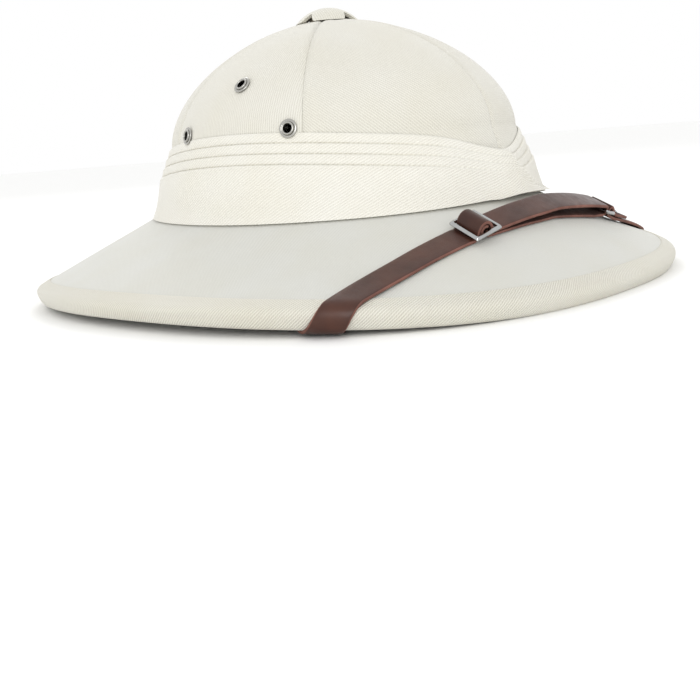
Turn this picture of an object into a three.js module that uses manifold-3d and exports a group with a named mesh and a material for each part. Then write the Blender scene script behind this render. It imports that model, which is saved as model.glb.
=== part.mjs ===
// A pith helmet: a six-gore cloth-covered crown with a folded pugaree round its foot,
// a sloping brim with a bound edge, a vented cap on top, six vent eyelets, and an
// adjustable leather chin strap carried over the front of the brim.
// Millimetres, +Z up. The front is -Y, the wearer's right is -X, and Z = 0 is the surface
// that the front and back of the brim rest on.
import * as THREE from 'three';
import { mergeVertices } from 'three/addons/utils/BufferGeometryUtils.js';
import Module from 'manifold-3d';

const wasm = await Module();
wasm.setup();

// Driving dimensions.
const GAP = 0.3;
const RIM = { side: 157, front: 168, back: 168, shift: 0, squareness: 2.46 };
const RIM_SADDLE = 2.5;
const ROLL_RADIUS = 5.2;
const REST_CUT = 0.3;
const RIM_HEIGHT = ROLL_RADIUS + RIM_SADDLE - REST_CUT;

const FOOT = { side: 93, front: 113, back: 120.5, shift: 1, squareness: 2 };
const FOOT_HEIGHT = 41.2;
const FOOT_WAVE = 1;
const CROWN = { side: 85.5, front: 98, back: 99.5, shift: 1, squareness: 2 };
const SPRING_HEIGHT = 78.2;
const CROWN_TOP = 139.2;
const CROWN_TOP_SHIFT = 4;
const DOME_POWER = 1.78;
const CROWN_WALL = 3;
const VENT_RADIUS = 10.3;
const GORES = [
  { name: 'front', from: 0, to: 60 },
  { name: 'side', from: 60, to: 120 },
  { name: 'back', from: 120, to: 180 },
];

const BOARD_THICKNESS = 6;
const BOARD_TOP = -0.3;
const BINDING_WALL = 1.2;
const BINDING_LIP = 4.5;

const BAND_THICKNESS = 1;
const BAND_CLEARANCE = 0.5;
const BAND_AT_FOOT = 3.2;
const BAND_TOP = { mean: 78.8, rise: 4.6, frontDrop: 8, backDrop: 0.8, frontSpread: 17 };
const FOLD = { count: 3, step: 0.8, edge: 0.2, spacing: 4.9, frontSpacing: 3.5, below: 2.5 };
const OVERLAP = { turn: 24, lift: 16, low: 42.7, rise: 23.3, spread: 11 };

const EYELETS = [
  { name: 'front', bearing: 64.5, height: 83.3 },
  { name: 'top', bearing: 86.5, height: 105.5 },
  { name: 'back', bearing: 111.5, height: 84 },
];
const EYELET = { bore: 2.1, barrel: 2.7, flange: 4.5, rise: 1.2, depth: 3.6 };

const CAP = { radius: 17, foot: 138.1, top: 145.8, wall: 1.8, arch: 4.4, archRise: 3.6 };
const COLLAR = { outer: 9.6, inner: 8.2, low: 134.5, high: 140.8 };

const STRAP_WIDTH = 13;
const STRAP_THICKNESS = 1.6;
const STRAP_LIE = 1.3;
const LAYER_STEP = STRAP_THICKNESS + GAP;
const BAR = 1.6;
const BAR_LOOP = 2.3;
const SLIDER = { at: 52.5, length: 16, width: 17.6, edge: 1.8, height: 4.6, tilt: 8 };
const RING = { at: -47, length: 8.8, width: 17.6, edge: 1.6, height: 4.6 };
const SIDE_BAR = 1.7;
const RIVETS_PAST_RING = [10, 18];
const RIVET = { shank: 1.1, head: 2.2, rise: 1 };
const FLAP_LENGTH = 24;
const ANCHOR = { along: 8, width: 14, thick: 4, drop: 0.8 };

// Where the strap runs: turn round the helmet in degrees, and reach, which is 0 at the foot
// of the crown, 1 where the edge roll starts, 2 under the roll and 3 back under the crown.
const STRAP_ROUTE = [
  { turn: 84, reach: 2.93 }, { turn: 71, reach: 2.5 }, { turn: 58.6, reach: 2 },
  { turn: 56.2, reach: 1.5 }, { turn: 53.8, reach: 1 }, { turn: 49.8, reach: 0.855 },
  { turn: 44, reach: 0.685 }, { turn: 36.5, reach: 0.505 }, { turn: 28.3, reach: 0.367 },
  { turn: 21.5, reach: 0.295 }, { turn: 11.9, reach: 0.237 }, { turn: 4.5, reach: 0.217 },
  { turn: -4.4, reach: 0.23 }, { turn: -13.8, reach: 0.3 }, { turn: -22.1, reach: 0.39 },
  { turn: -30.4, reach: 0.52 }, { turn: -38, reach: 0.656 }, { turn: -46, reach: 0.82 },
  { turn: -53.3, reach: 1 }, { turn: -55.7, reach: 1.5 }, { turn: -58.1, reach: 2 },
  { turn: -70, reach: 2.5 }, { turn: -84, reach: 2.93 },
];

const RIM_STEPS = 48;
const GORE_STEPS = 6;
const LOWER_LEVELS = 2;
const DOME_LEVELS = 8;
const RIGHT_STRIP_STEPS = 21;
const LEFT_STRIP_STEPS = 18;
const STRAP_LINES = [-1, -1 / 3, 1 / 3, 1];
const UP = new THREE.Vector3(0, 0, 1);
const radians = THREE.MathUtils.degToRad;

const CLOTH = new THREE.MeshStandardMaterial({ color: '#e8e6dc', roughness: 0.9 });
const TRIM_CLOTH = new THREE.MeshStandardMaterial({ color: '#dfdfd6', roughness: 0.9 });
const LEATHER = new THREE.MeshStandardMaterial({ color: '#54372d', roughness: 0.35 });
const CHROME = new THREE.MeshStandardMaterial({ color: '#d5d7da', roughness: 0.15, metalness: 1 });
const COLLAR_CLOTH = new THREE.MeshStandardMaterial({ color: '#a39c8c', roughness: 0.9 });

const helmet = new THREE.Group();

function place(name, geometry, material) {
  const mesh = new THREE.Mesh(geometry, material);
  mesh.name = name;
  helmet.add(mesh);
  return mesh;
}

// A closed wall between two grids of points: a face, a back, and the borders between them.
function wall(face, back, wraps = false) {
  const rows = face.length;
  const cols = face[0].length;
  const last = wraps ? cols : cols - 1;
  const points = [...face.flat(), ...back.flat()];
  const triangles = [];
  const at = (side, row, col) => (side * rows + row) * cols + (col % cols);
  const quad = (a, b, c, d) => triangles.push(a, b, c, a, c, d);
  for (let col = 0; col < last; col += 1) {
    for (let row = 0; row < rows - 1; row += 1) {
      quad(at(0, row, col), at(0, row, col + 1), at(0, row + 1, col + 1), at(0, row + 1, col));
      quad(at(1, row, col), at(1, row + 1, col), at(1, row + 1, col + 1), at(1, row, col + 1));
    }
    quad(at(0, 0, col), at(1, 0, col), at(1, 0, col + 1), at(0, 0, col + 1));
    quad(at(0, rows - 1, col), at(0, rows - 1, col + 1), at(1, rows - 1, col + 1), at(1, rows - 1, col));
  }
  for (let row = 0; row < rows - 1 && !wraps; row += 1) {
    quad(at(0, row, 0), at(0, row + 1, 0), at(1, row + 1, 0), at(1, row, 0));
    quad(at(0, row, last), at(1, row, last), at(1, row + 1, last), at(0, row + 1, last));
  }
  const geometry = new THREE.BufferGeometry().setFromPoints(points);
  geometry.setIndex(triangles);
  return facingOut(geometry);
}

// Turns a closed surface so that its faces point out.
function facingOut(geometry) {
  const position = geometry.getAttribute('position');
  const index = geometry.getIndex().array;
  const corner = (at) => new THREE.Vector3().fromBufferAttribute(position, index[at]);
  let volume = 0;
  for (let at = 0; at < index.length; at += 3) {
    volume += corner(at).dot(corner(at + 1).cross(corner(at + 2)));
  }
  if (volume < 0) {
    index.reverse();
  }
  return geometry;
}

function merged(geometry) {
  const bare = geometry.clone();
  bare.deleteAttribute('normal');
  bare.deleteAttribute('uv');
  return facingOut(mergeVertices(bare, 1e-4));
}

function asSolid(geometry) {
  const closed = merged(geometry);
  const vertProperties = new Float32Array(closed.getAttribute('position').array);
  const triVerts = new Uint32Array(closed.getIndex().array);
  return new wasm.Manifold(new wasm.Mesh({ numProp: 3, vertProperties, triVerts }));
}

function asGeometry(solid) {
  const mesh = solid.getMesh();
  const geometry = new THREE.BufferGeometry();
  geometry.setAttribute('position', new THREE.BufferAttribute(mesh.vertProperties, 3));
  geometry.setIndex(new THREE.BufferAttribute(mesh.triVerts, 1));
  return geometry;
}

function cut(geometry, cutters) {
  let solid = asSolid(geometry);
  for (const cutter of cutters) {
    solid = solid.subtract(asSolid(cutter));
  }
  return asGeometry(solid);
}

function rowOf(count, make) {
  return Array.from({ length: count }, (_, index) => make(index));
}

// Ovals. A turn is 0 at the front and grows towards the wearer's right.
function signedPower(value, power) {
  return Math.sign(value) * Math.abs(value) ** power;
}

function ovalPoint(oval, turn, inset = 0, height = 0) {
  const power = 2 / oval.squareness;
  const reach = Math.cos(turn) > 0 ? oval.front : oval.back;
  return new THREE.Vector3(
    -(oval.side - inset) * signedPower(Math.sin(turn), power),
    oval.shift - (reach - inset) * signedPower(Math.cos(turn), power),
    height,
  );
}

// The turn that meets a compass bearing on the crown, for bearings from 0 to 180 degrees.
function turnAt(bearing) {
  const reach = bearing < 90 ? CROWN.front : CROWN.back;
  return Math.atan2(Math.sin(radians(bearing)) / CROWN.side, Math.cos(radians(bearing)) / reach);
}

// The slope of the brim at one turn: where it leaves the crown, its directions, its length.
function slopeAt(turn) {
  const start = ovalPoint(FOOT, turn, 0, FOOT_HEIGHT + FOOT_WAVE * Math.cos(2 * turn));
  const rollHeight = RIM_HEIGHT - RIM_SADDLE * Math.cos(2 * turn);
  const roll = ovalPoint(RIM, turn, ROLL_RADIUS, rollHeight);
  const outward = roll.clone().sub(start).setZ(0);
  const run = outward.length();
  outward.normalize();
  const span = Math.hypot(run, start.z - rollHeight);
  const fall = Math.atan2(start.z - rollHeight, run) - Math.asin(ROLL_RADIUS / span);
  const along = outward.clone().multiplyScalar(Math.cos(fall)).addScaledVector(UP, -Math.sin(fall));
  const up = outward.clone().multiplyScalar(Math.sin(fall)).addScaledVector(UP, Math.cos(fall));
  return { start, along, up, length: Math.sqrt(span ** 2 - ROLL_RADIUS ** 2) };
}

function onSlope(slope, along, up) {
  return slope.start.clone().addScaledVector(slope.along, along).addScaledVector(slope.up, up);
}

// The height of the brim's top, carried on inwards under the crown wall and the band.
function brimHeight(turn, inset) {
  const slope = slopeAt(turn);
  return slope.start.z - (slope.along.z / Math.hypot(slope.along.x, slope.along.y)) * inset;
}

// Crown: straight and flaring below the spring line, a pointed dome above it.
function crownOval(height, inset) {
  const rise = (height - SPRING_HEIGHT) / (CROWN_TOP - inset - SPRING_HEIGHT);
  const drop = (SPRING_HEIGHT - height) / (SPRING_HEIGHT - FOOT_HEIGHT);
  if (drop > 0) {
    const grown = (key) => CROWN[key] + (FOOT[key] - BAND_AT_FOOT - CROWN[key]) * drop - inset;
    return { ...CROWN, side: grown('side'), front: grown('front'), back: grown('back') };
  }
  const shrink = Math.max(1 - rise ** DOME_POWER, 0) ** (1 / DOME_POWER);
  return {
    side: (CROWN.side - inset) * shrink,
    front: (CROWN.front - inset) * shrink,
    back: (CROWN.back - inset) * shrink,
    shift: CROWN.shift + (CROWN_TOP_SHIFT - CROWN.shift) * (1 - shrink),
    squareness: 2,
  };
}

function crownPoint(turn, height, inset = 0) {
  return ovalPoint(crownOval(height, inset), turn, 0, height);
}

// The height at which a wall standing some way inside the crown's face meets the brim.
function standingHeight(turn, inset) {
  let height = FOOT_HEIGHT;
  for (let round = 0; round < 6; round += 1) {
    const inward = ovalPoint(FOOT, turn).distanceTo(crownPoint(turn, height, inset).setZ(0));
    height = brimHeight(turn, inward) + 2 * GAP;
  }
  return height;
}

// Heights up the crown wall: even steps to the spring line, then even turns of the dome.
function crownLevels(turn, inset) {
  const foot = standingHeight(turn, inset);
  const lower = rowOf(LOWER_LEVELS, (step) => foot + ((SPRING_HEIGHT - foot) * step) / LOWER_LEVELS);
  const domeRise = CROWN_TOP - inset - SPRING_HEIGHT;
  const topTurn = Math.acos((VENT_RADIUS / CROWN.side) ** (DOME_POWER / 2));
  const upper = rowOf(DOME_LEVELS, (step) => SPRING_HEIGHT
    + domeRise * Math.sin((topTurn * step) / (DOME_LEVELS - 1)) ** (2 / DOME_POWER));
  return [...lower, ...upper];
}

function goreGrid(fromTurn, toTurn, inset) {
  const middle = (fromTurn + toTurn) / 2;
  return rowOf(LOWER_LEVELS + DOME_LEVELS, (row) => {
    const radius = crownPoint(middle, crownLevels(middle, 0)[row]).setZ(0).length();
    const margin = (GAP / 2 / radius) * Math.sign(toTurn - fromTurn);
    return rowOf(GORE_STEPS + 1, (col) => {
      const turn = THREE.MathUtils.lerp(fromTurn + margin, toTurn - margin, col / GORE_STEPS);
      return crownPoint(turn, crownLevels(turn, inset)[row], inset);
    });
  });
}

// Where each eyelet sits, and which way its axis points.
function eyeletSeat({ bearing, height }, mirror) {
  const turn = mirror * turnAt(bearing);
  const step = 0.01;
  const point = crownPoint(turn, height);
  const round = crownPoint(turn + step, height).sub(crownPoint(turn - step, height));
  const rise = crownPoint(turn, height + 1).sub(crownPoint(turn, height - 1));
  const axis = round.cross(rise).normalize();
  if (axis.dot(point.clone().setZ(0)) < 0) {
    axis.negate();
  }
  return { point, axis };
}

function rodAlong(seat, radius, length, sides) {
  const rod = new THREE.CylinderGeometry(radius, radius, length, sides);
  rod.applyQuaternion(new THREE.Quaternion().setFromUnitVectors(new THREE.Vector3(0, 1, 0), seat.axis));
  return rod.translate(seat.point.x, seat.point.y, seat.point.z);
}

const eyeletSeats = [1, -1].flatMap((mirror) => EYELETS.map((eyelet) => ({
  ...eyeletSeat(eyelet, mirror),
  name: `vent_eyelet_${mirror > 0 ? 'right' : 'left'}_${eyelet.name}`,
  mirror,
  inBand: eyelet.name !== 'top',
})));

function buildCrown() {
  for (const { name, from, to } of GORES) {
    for (const [hand, mirror] of [['right', 1], ['left', -1]]) {
      const ends = [mirror * turnAt(from), mirror * turnAt(to)];
      const geometry = wall(goreGrid(...ends, 0), goreGrid(...ends, CROWN_WALL));
      const holes = eyeletSeats.filter((seat) => seat.mirror === mirror && name === 'side')
        .map((seat) => rodAlong(seat, EYELET.barrel + GAP, 16, 10));
      place(`crown_gore_${name}_${hand}`, holes.length ? cut(geometry, holes) : geometry, CLOTH);
    }
  }
}

function buildEyelets() {
  const { bore, barrel, flange, rise, depth } = EYELET;
  const profile = [
    [bore, -depth], [barrel, -depth], [barrel, GAP], [flange, GAP],
    [(flange + bore) / 2, GAP + rise], [bore, GAP], [bore, -depth],
  ].map(([radius, height]) => new THREE.Vector2(radius, height));
  for (const seat of eyeletSeats) {
    const mesh = place(seat.name, merged(new THREE.LatheGeometry(profile, 10)), CHROME);
    mesh.position.copy(seat.point);
    mesh.quaternion.setFromUnitVectors(new THREE.Vector3(0, 1, 0), seat.axis);
  }
}

// The pugaree: two strips wound round the foot of the crown, each with its folds stepping
// outwards as they go down. They cross at the front, the right strip over the left one.
function frontDip(turn) {
  return Math.exp(-((turn / radians(BAND_TOP.frontSpread)) ** 2));
}

function bandTop(turn) {
  const { mean, rise, frontDrop, backDrop } = BAND_TOP;
  return mean - rise * Math.cos(2 * turn) - frontDrop * frontDip(turn) - backDrop * (1 - Math.cos(turn));
}

function overlapTop(turn) {
  return OVERLAP.low + OVERLAP.rise * Math.exp(turn / radians(OVERLAP.spread));
}

// One column of a strip: heights and insets of its face and back, from its top edge down.
function stripRows(turn, lift, top) {
  const outAtFoot = BAND_AT_FOOT - BAND_CLEARANCE;
  const foot = standingHeight(turn, -BAND_CLEARANCE - lift - outAtFoot);
  const span = top - foot;
  const flat = FOLD.spacing - (FOLD.spacing - FOLD.frontSpacing) * frontDip(turn);
  const spacing = Math.min(flat, span / (FOLD.count + 2));
  const rows = [{ drop: 0, out: BAND_THICKNESS }];
  for (let fold = 1; fold <= FOLD.count; fold += 1) {
    const out = BAND_THICKNESS + (fold - 1) * FOLD.step;
    rows.push({ drop: fold * spacing - FOLD.edge, out: out + FOLD.edge });
    rows.push({ drop: fold * spacing, out: out + FOLD.step });
  }
  const folded = FOLD.count * spacing;
  rows.push({ drop: (folded + span) / 2, out: FOLD.below }, { drop: span, out: outAtFoot });
  const backFoot = standingHeight(turn, -BAND_CLEARANCE - lift);
  return rows.map(({ drop, out }, index) => ({
    face: { height: top - drop, inset: -(BAND_CLEARANCE + lift + out) },
    back: { height: index === rows.length - 1 ? backFoot : top - drop, inset: -(BAND_CLEARANCE + lift) },
  }));
}

function strip(fromTurn, toTurn, steps, shape) {
  const turns = rowOf(steps + 1, (step) => THREE.MathUtils.lerp(fromTurn, toTurn, step / steps));
  const columns = turns.map((turn) => ({ turn, rows: shape(turn) }));
  const grid = (side) => rowOf(columns[0].rows.length, (row) => columns.map(
    (column) => crownPoint(column.turn, column.rows[row][side].height, column.rows[row][side].inset),
  ));
  return wall(grid('face'), grid('back'));
}

function buildPugaree() {
  const notches = eyeletSeats.filter((seat) => seat.inBand)
    .map((seat) => rodAlong(seat, EYELET.flange + GAP, 12, 16));
  const overLift = BAND_THICKNESS + FOLD.count * FOLD.step + 3 * GAP;
  const rightShape = (turn) => {
    const lift = overLift * THREE.MathUtils.smoothstep(-turn, -radians(OVERLAP.lift), 0);
    return stripRows(turn, lift, turn > 0 ? bandTop(turn) : overlapTop(turn));
  };
  const leftShape = (turn) => stripRows(turn, 0, bandTop(turn));
  const right = strip(-radians(OVERLAP.turn), Math.PI - 0.002, RIGHT_STRIP_STEPS, rightShape);
  const left = strip(-Math.PI + 0.002, 0, LEFT_STRIP_STEPS, leftShape);
  place('pugaree_right', cut(right, notches), CLOTH);
  place('pugaree_left', cut(left, notches), CLOTH);
}

// The brim board: one sloping ring, rebated and beaded at its edge under the binding.
function ringWall(faceOf, backOf) {
  const turns = rowOf(RIM_STEPS, (step) => (2 * Math.PI * step) / RIM_STEPS);
  const slopes = turns.map(slopeAt);
  const grid = (outline) => {
    const columns = slopes.map(outline);
    return rowOf(columns[0].length, (row) => columns.map((column) => column[row]));
  };
  return wall(grid(faceOf), grid(backOf), true);
}

function rollPoint(slope, radius, degrees) {
  const along = slope.length + radius * Math.cos(radians(degrees));
  return onSlope(slope, along, -ROLL_RADIUS + radius * Math.sin(radians(degrees)));
}

function buildBrim() {
  const bead = (ROLL_RADIUS - BINDING_WALL) * Math.cos(radians(22.5)) - GAP;
  const innerEdge = -(BAND_AT_FOOT + CROWN_WALL);
  const under = BOARD_TOP - BOARD_THICKNESS;
  const board = ringWall(
    (slope) => [
      onSlope(slope, innerEdge, BOARD_TOP),
      onSlope(slope, slope.length - BINDING_LIP - GAP, BOARD_TOP),
      onSlope(slope, slope.length - BINDING_LIP - GAP / 2, -BINDING_WALL - GAP),
      ...[90, 50, 15].map((degrees) => rollPoint(slope, bead, degrees)),
    ],
    (slope) => [
      onSlope(slope, innerEdge, under),
      onSlope(slope, slope.length - BINDING_LIP - 2.5, under),
      onSlope(slope, slope.length - BINDING_LIP + 1, -ROLL_RADIUS - bead),
      ...[-90, -50, -15].map((degrees) => rollPoint(slope, bead, degrees)),
    ],
  );
  place('brim', board, TRIM_CLOTH);

  const lip = (slope, up) => onSlope(slope, slope.length - BINDING_LIP, up);
  const angles = [90, 45, 0, -45, -90];
  const binding = ringWall(
    (slope) => [
      lip(slope, 0),
      ...angles.map((degrees) => rollPoint(slope, ROLL_RADIUS, degrees)),
      lip(slope, -2 * ROLL_RADIUS),
    ],
    (slope) => [
      lip(slope, -BINDING_WALL),
      ...angles.map((degrees) => rollPoint(slope, ROLL_RADIUS - BINDING_WALL, degrees)),
      lip(slope, -2 * ROLL_RADIUS + BINDING_WALL),
    ],
  );
  const below = new THREE.BoxGeometry(400, 400, 20).translate(0, 0, -10);
  place('brim_binding', cut(binding, [below]), CLOTH);
}

// The cap: a shallow dome standing on four feet over the vent, with an arch between each two.
function buildCap() {
  const { radius, foot, top, wall: thick, arch, archRise } = CAP;
  const rise = top - foot;
  const curve = (radius ** 2 + rise ** 2) / (2 * rise);
  const arcFor = (sphere, steps) => {
    const edge = Math.acos((foot - (top - curve)) / sphere);
    return rowOf(steps + 1, (step) => {
      const angle = (edge * step) / steps;
      return new THREE.Vector2(sphere * Math.sin(angle), top - curve + sphere * Math.cos(angle));
    });
  };
  const profile = [...arcFor(curve, 5), ...arcFor(curve - thick, 5).reverse()];
  const dome = new THREE.LatheGeometry([...profile, profile[0].clone()], 20).rotateX(Math.PI / 2);
  const outline = new THREE.Shape().moveTo(-arch, -2).lineTo(arch, -2).lineTo(arch, 0)
    .quadraticCurveTo(0, 2 * archRise, -arch, 0);
  const through = { depth: 2 * radius + 4, bevelEnabled: false, curveSegments: 4 };
  const tunnel = (angle) => new THREE.ExtrudeGeometry(outline, through)
    .translate(0, 0, -radius - 2).rotateX(Math.PI / 2).translate(0, 0, foot).rotateZ(angle);
  const mesh = place('vent_cap', cut(dome, [tunnel(0), tunnel(Math.PI / 2)]), CLOTH);
  mesh.position.y = CROWN_TOP_SHIFT;

  const { outer, inner, low, high } = COLLAR;
  const section = [[inner, low], [outer, low], [outer, high], [inner, high], [inner, low]]
    .map(([across, height]) => new THREE.Vector2(across, height));
  const sleeve = merged(new THREE.LatheGeometry(section, 16).rotateX(Math.PI / 2));
  const collar = place('vent_collar', sleeve, COLLAR_CLOTH);
  collar.position.y = CROWN_TOP_SHIFT;
}

// The skin of the brim at a turn, some way past the start of the edge roll: before it on the
// top, round the roll, and after it on the underside, which climbs from the lip to the board.
const ROLL_LENGTH = Math.PI * ROLL_RADIUS;

function skinAt(turn, past) {
  const slope = slopeAt(turn);
  if (past <= 0) {
    return { point: onSlope(slope, slope.length + past, 0), up: slope.up };
  }
  if (past <= ROLL_LENGTH) {
    const centre = onSlope(slope, slope.length, -ROLL_RADIUS);
    const point = rollPoint(slope, ROLL_RADIUS, 90 - (180 * past) / ROLL_LENGTH);
    return { point, up: point.clone().sub(centre).normalize() };
  }
  const inward = past - ROLL_LENGTH;
  const flat = BINDING_LIP + 2;
  const climb = (2 * ROLL_RADIUS + BOARD_TOP - BOARD_THICKNESS)
    * THREE.MathUtils.clamp((inward - flat) / (slope.length - flat), 0, 1);
  return {
    point: onSlope(slope, slope.length - inward, climb - 2 * ROLL_RADIUS),
    up: slope.up.clone().negate(),
  };
}

function pastFor(turn, reach) {
  const { length } = slopeAt(turn);
  const onTop = Math.min(reach - 1, 0) * length;
  return onTop + THREE.MathUtils.clamp(reach - 1, 0, 1) * ROLL_LENGTH + Math.max(reach - 2, 0) * length;
}

// Points along the middle of the strap, each with the turn and past of the strap's lines,
// which lie side by side on the skin.
function makeTrack() {
  const route = new THREE.CatmullRomCurve3(
    STRAP_ROUTE.map(({ turn, reach }) => new THREE.Vector3(turn, pastFor(radians(turn), reach), 0)),
    false,
    'centripetal',
  );
  const count = 800;
  const stations = rowOf(count + 1, (step) => {
    const at = route.getPoint(step / count);
    return { turn: radians(at.x), past: at.y, ...skinAt(radians(at.x), at.y) };
  });
  const nudge = 1e-4;
  stations.forEach((station, index) => {
    const before = stations[Math.max(index - 1, 0)].point;
    const after = stations[Math.min(index + 1, count)].point;
    const byTurn = skinAt(station.turn + nudge, station.past).point.sub(station.point).divideScalar(nudge);
    const byPast = skinAt(station.turn, station.past + nudge).point.sub(station.point).divideScalar(nudge);
    const normal = byTurn.clone().cross(byPast).normalize();
    station.up = normal.dot(station.up) < 0 ? normal.negate() : normal;
    station.along = before.clone().sub(after).normalize();
    station.across = station.up.clone().cross(station.along).normalize();
    station.along = station.across.clone().cross(station.up);
    const [tt, tp, pp] = [byTurn.dot(byTurn), byTurn.dot(byPast), byPast.dot(byPast)];
    const [ta, pa] = [byTurn.dot(station.across), byPast.dot(station.across)];
    const share = tt * pp - tp * tp;
    station.turnStep = (ta * pp - pa * tp) / share;
    station.pastStep = (pa * tt - ta * tp) / share;
    station.distance = index ? stations[index - 1].distance - before.distanceTo(station.point) : 0;
  });
  const front = stations.find((station) => station.turn <= 0).distance;
  stations.forEach((station) => {
    station.distance -= front;
  });
  return stations;
}

// Distance along the track is 0 at the front centre and grows towards the wearer's right.
const track = makeTrack();

function stationAt(distance) {
  const after = Math.max(track.findIndex((station) => station.distance <= distance), 1);
  const [one, two] = [track[after - 1], track[after]];
  const blend = THREE.MathUtils.clamp((one.distance - distance) / (one.distance - two.distance), 0, 1);
  const number = (key) => THREE.MathUtils.lerp(one[key], two[key], blend);
  const mix = (key) => one[key].clone().lerp(two[key], blend);
  const up = mix('up').normalize();
  const across = mix('across').normalize();
  const line = (side) => skinAt(
    number('turn') + side * number('turnStep'),
    number('past') + side * number('pastStep'),
  );
  return { point: mix('point'), up, across, along: across.clone().cross(up), line };
}

// A strap from a profile of distances along the track and heights above the skin.
function ribbon(profile) {
  const side = (rise) => profile.map((here, index) => {
    const before = profile[Math.max(index - 1, 0)];
    const after = profile[Math.min(index + 1, profile.length - 1)];
    const tilt = Math.atan2(after.height - before.height, after.distance - before.distance);
    const station = stationAt(here.distance);
    return STRAP_LINES.map((line) => {
      const { point, up } = station.line((line * STRAP_WIDTH) / 2);
      const height = here.height + ((rise * STRAP_THICKNESS) / 2) * Math.cos(tilt);
      return point.clone().addScaledVector(up, height)
        .addScaledVector(station.along, ((-rise * STRAP_THICKNESS) / 2) * Math.sin(tilt));
    });
  });
  return wall(side(1), side(-1));
}

function run(from, to, heightFrom, heightTo, step) {
  const count = Math.max(Math.round(Math.abs(to - from) / step), 1);
  return rowOf(count, (index) => ({
    distance: THREE.MathUtils.lerp(from, to, index / count),
    height: THREE.MathUtils.lerp(heightFrom, heightTo, index / count),
  }));
}

function arc(centre, height, radius, fromDegrees, toDegrees, count) {
  return rowOf(count + 1, (index) => {
    const angle = radians(THREE.MathUtils.lerp(fromDegrees, toDegrees, index / count));
    return { distance: centre + radius * Math.cos(angle), height: height + radius * Math.sin(angle) };
  });
}

// From a place on the brim's top, round the edge with short steps, to the end underneath.
function edgeRun(from, end) {
  const side = Math.sign(end);
  const roll = track.filter((station) => station.past > 0 && station.past < ROLL_LENGTH)
    .map((station) => station.distance * side)
    .filter((distance) => distance > 0);
  const margin = 7;
  const rollStart = side * (Math.min(...roll) - margin);
  const rollEnd = side * (Math.max(...roll) + margin);
  return [
    ...run(from, rollStart, STRAP_LIE, STRAP_LIE, 8),
    ...run(rollStart, rollEnd, STRAP_LIE, STRAP_LIE, 2.5),
    ...run(rollEnd, end, STRAP_LIE, STRAP_LIE, 12),
    { distance: end, height: STRAP_LIE },
  ];
}

// The long strap runs from the right end, over the slider's bar to the ring, and comes back
// beneath itself to be sewn round the slider's bar.
function longProfile(rightEnd) {
  const at = SLIDER.at;
  const second = STRAP_LIE + LAYER_STEP;
  return [
    ...edgeRun(at + 9, rightEnd).reverse(),
    { distance: at + 5.9, height: STRAP_LIE },
    { distance: at + 4.9, height: STRAP_LIE + 1 },
    { distance: at + 4.3, height: STRAP_LIE + 2.5 },
    ...arc(at, SLIDER.height, BAR_LOOP + LAYER_STEP, 10, 150, 7),
    { distance: at - 5.2, height: second + 0.6 },
    { distance: at - 6.6, height: second + 0.1 },
    ...run(at - 9, RING.at, second + 0.1, RING.height + BAR_LOOP, 8),
    ...arc(RING.at, RING.height, BAR_LOOP, 90, 270, 6),
    ...run(RING.at + 10, at - 5, STRAP_LIE, STRAP_LIE, 8),
    { distance: at - 4, height: STRAP_LIE + 0.1 },
    ...arc(at, SLIDER.height, BAR_LOOP, -90, 120, 7),
  ];
}

// The short strap is folded round the ring's far bar, riveted to itself, and runs to the left end.
function shortProfile(leftEnd) {
  const bar = RING.at - RING.length + RING.edge;
  const second = STRAP_LIE + LAYER_STEP;
  return [
    ...run(bar - FLAP_LENGTH, bar - 9, second, second, 6),
    { distance: bar - 9, height: second },
    { distance: bar - 6, height: second + 0.7 },
    { distance: bar - 3, height: second + 2.4 },
    ...arc(bar, RING.height, BAR_LOOP, 90, -90, 6),
    ...edgeRun(bar - 8, leftEnd),
  ];
}

function rectangle(path, left, right, half) {
  return path.moveTo(left, -half).lineTo(right, -half).lineTo(right, half).lineTo(left, half);
}

function placeOnTrack(mesh, distance, height, tilt) {
  const { point, along, across, up } = stationAt(distance);
  mesh.position.copy(point).addScaledVector(up, height);
  mesh.quaternion.setFromRotationMatrix(new THREE.Matrix4().makeBasis(along, across, up));
  mesh.rotateY(radians(tilt));
}

// A flat metal frame, open in the middle or with a bar across its middle.
function placeFrame(name, frame, distance, tilt, middleBar) {
  const { length, width, edge } = frame;
  const inner = length / 2 - edge;
  const outline = rectangle(new THREE.Shape(), -length / 2, length / 2, width / 2);
  outline.holes.push(rectangle(new THREE.Path(), -inner, inner, width / 2 - SIDE_BAR));
  const bars = new THREE.ExtrudeGeometry(outline, { depth: BAR, bevelEnabled: false });
  let solid = asSolid(bars.translate(0, 0, -BAR / 2));
  if (middleBar) {
    solid = solid.add(asSolid(new THREE.BoxGeometry(BAR, width - SIDE_BAR, BAR)));
  }
  placeOnTrack(place(name, asGeometry(solid), CHROME), distance, frame.height, tilt);
}

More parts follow.
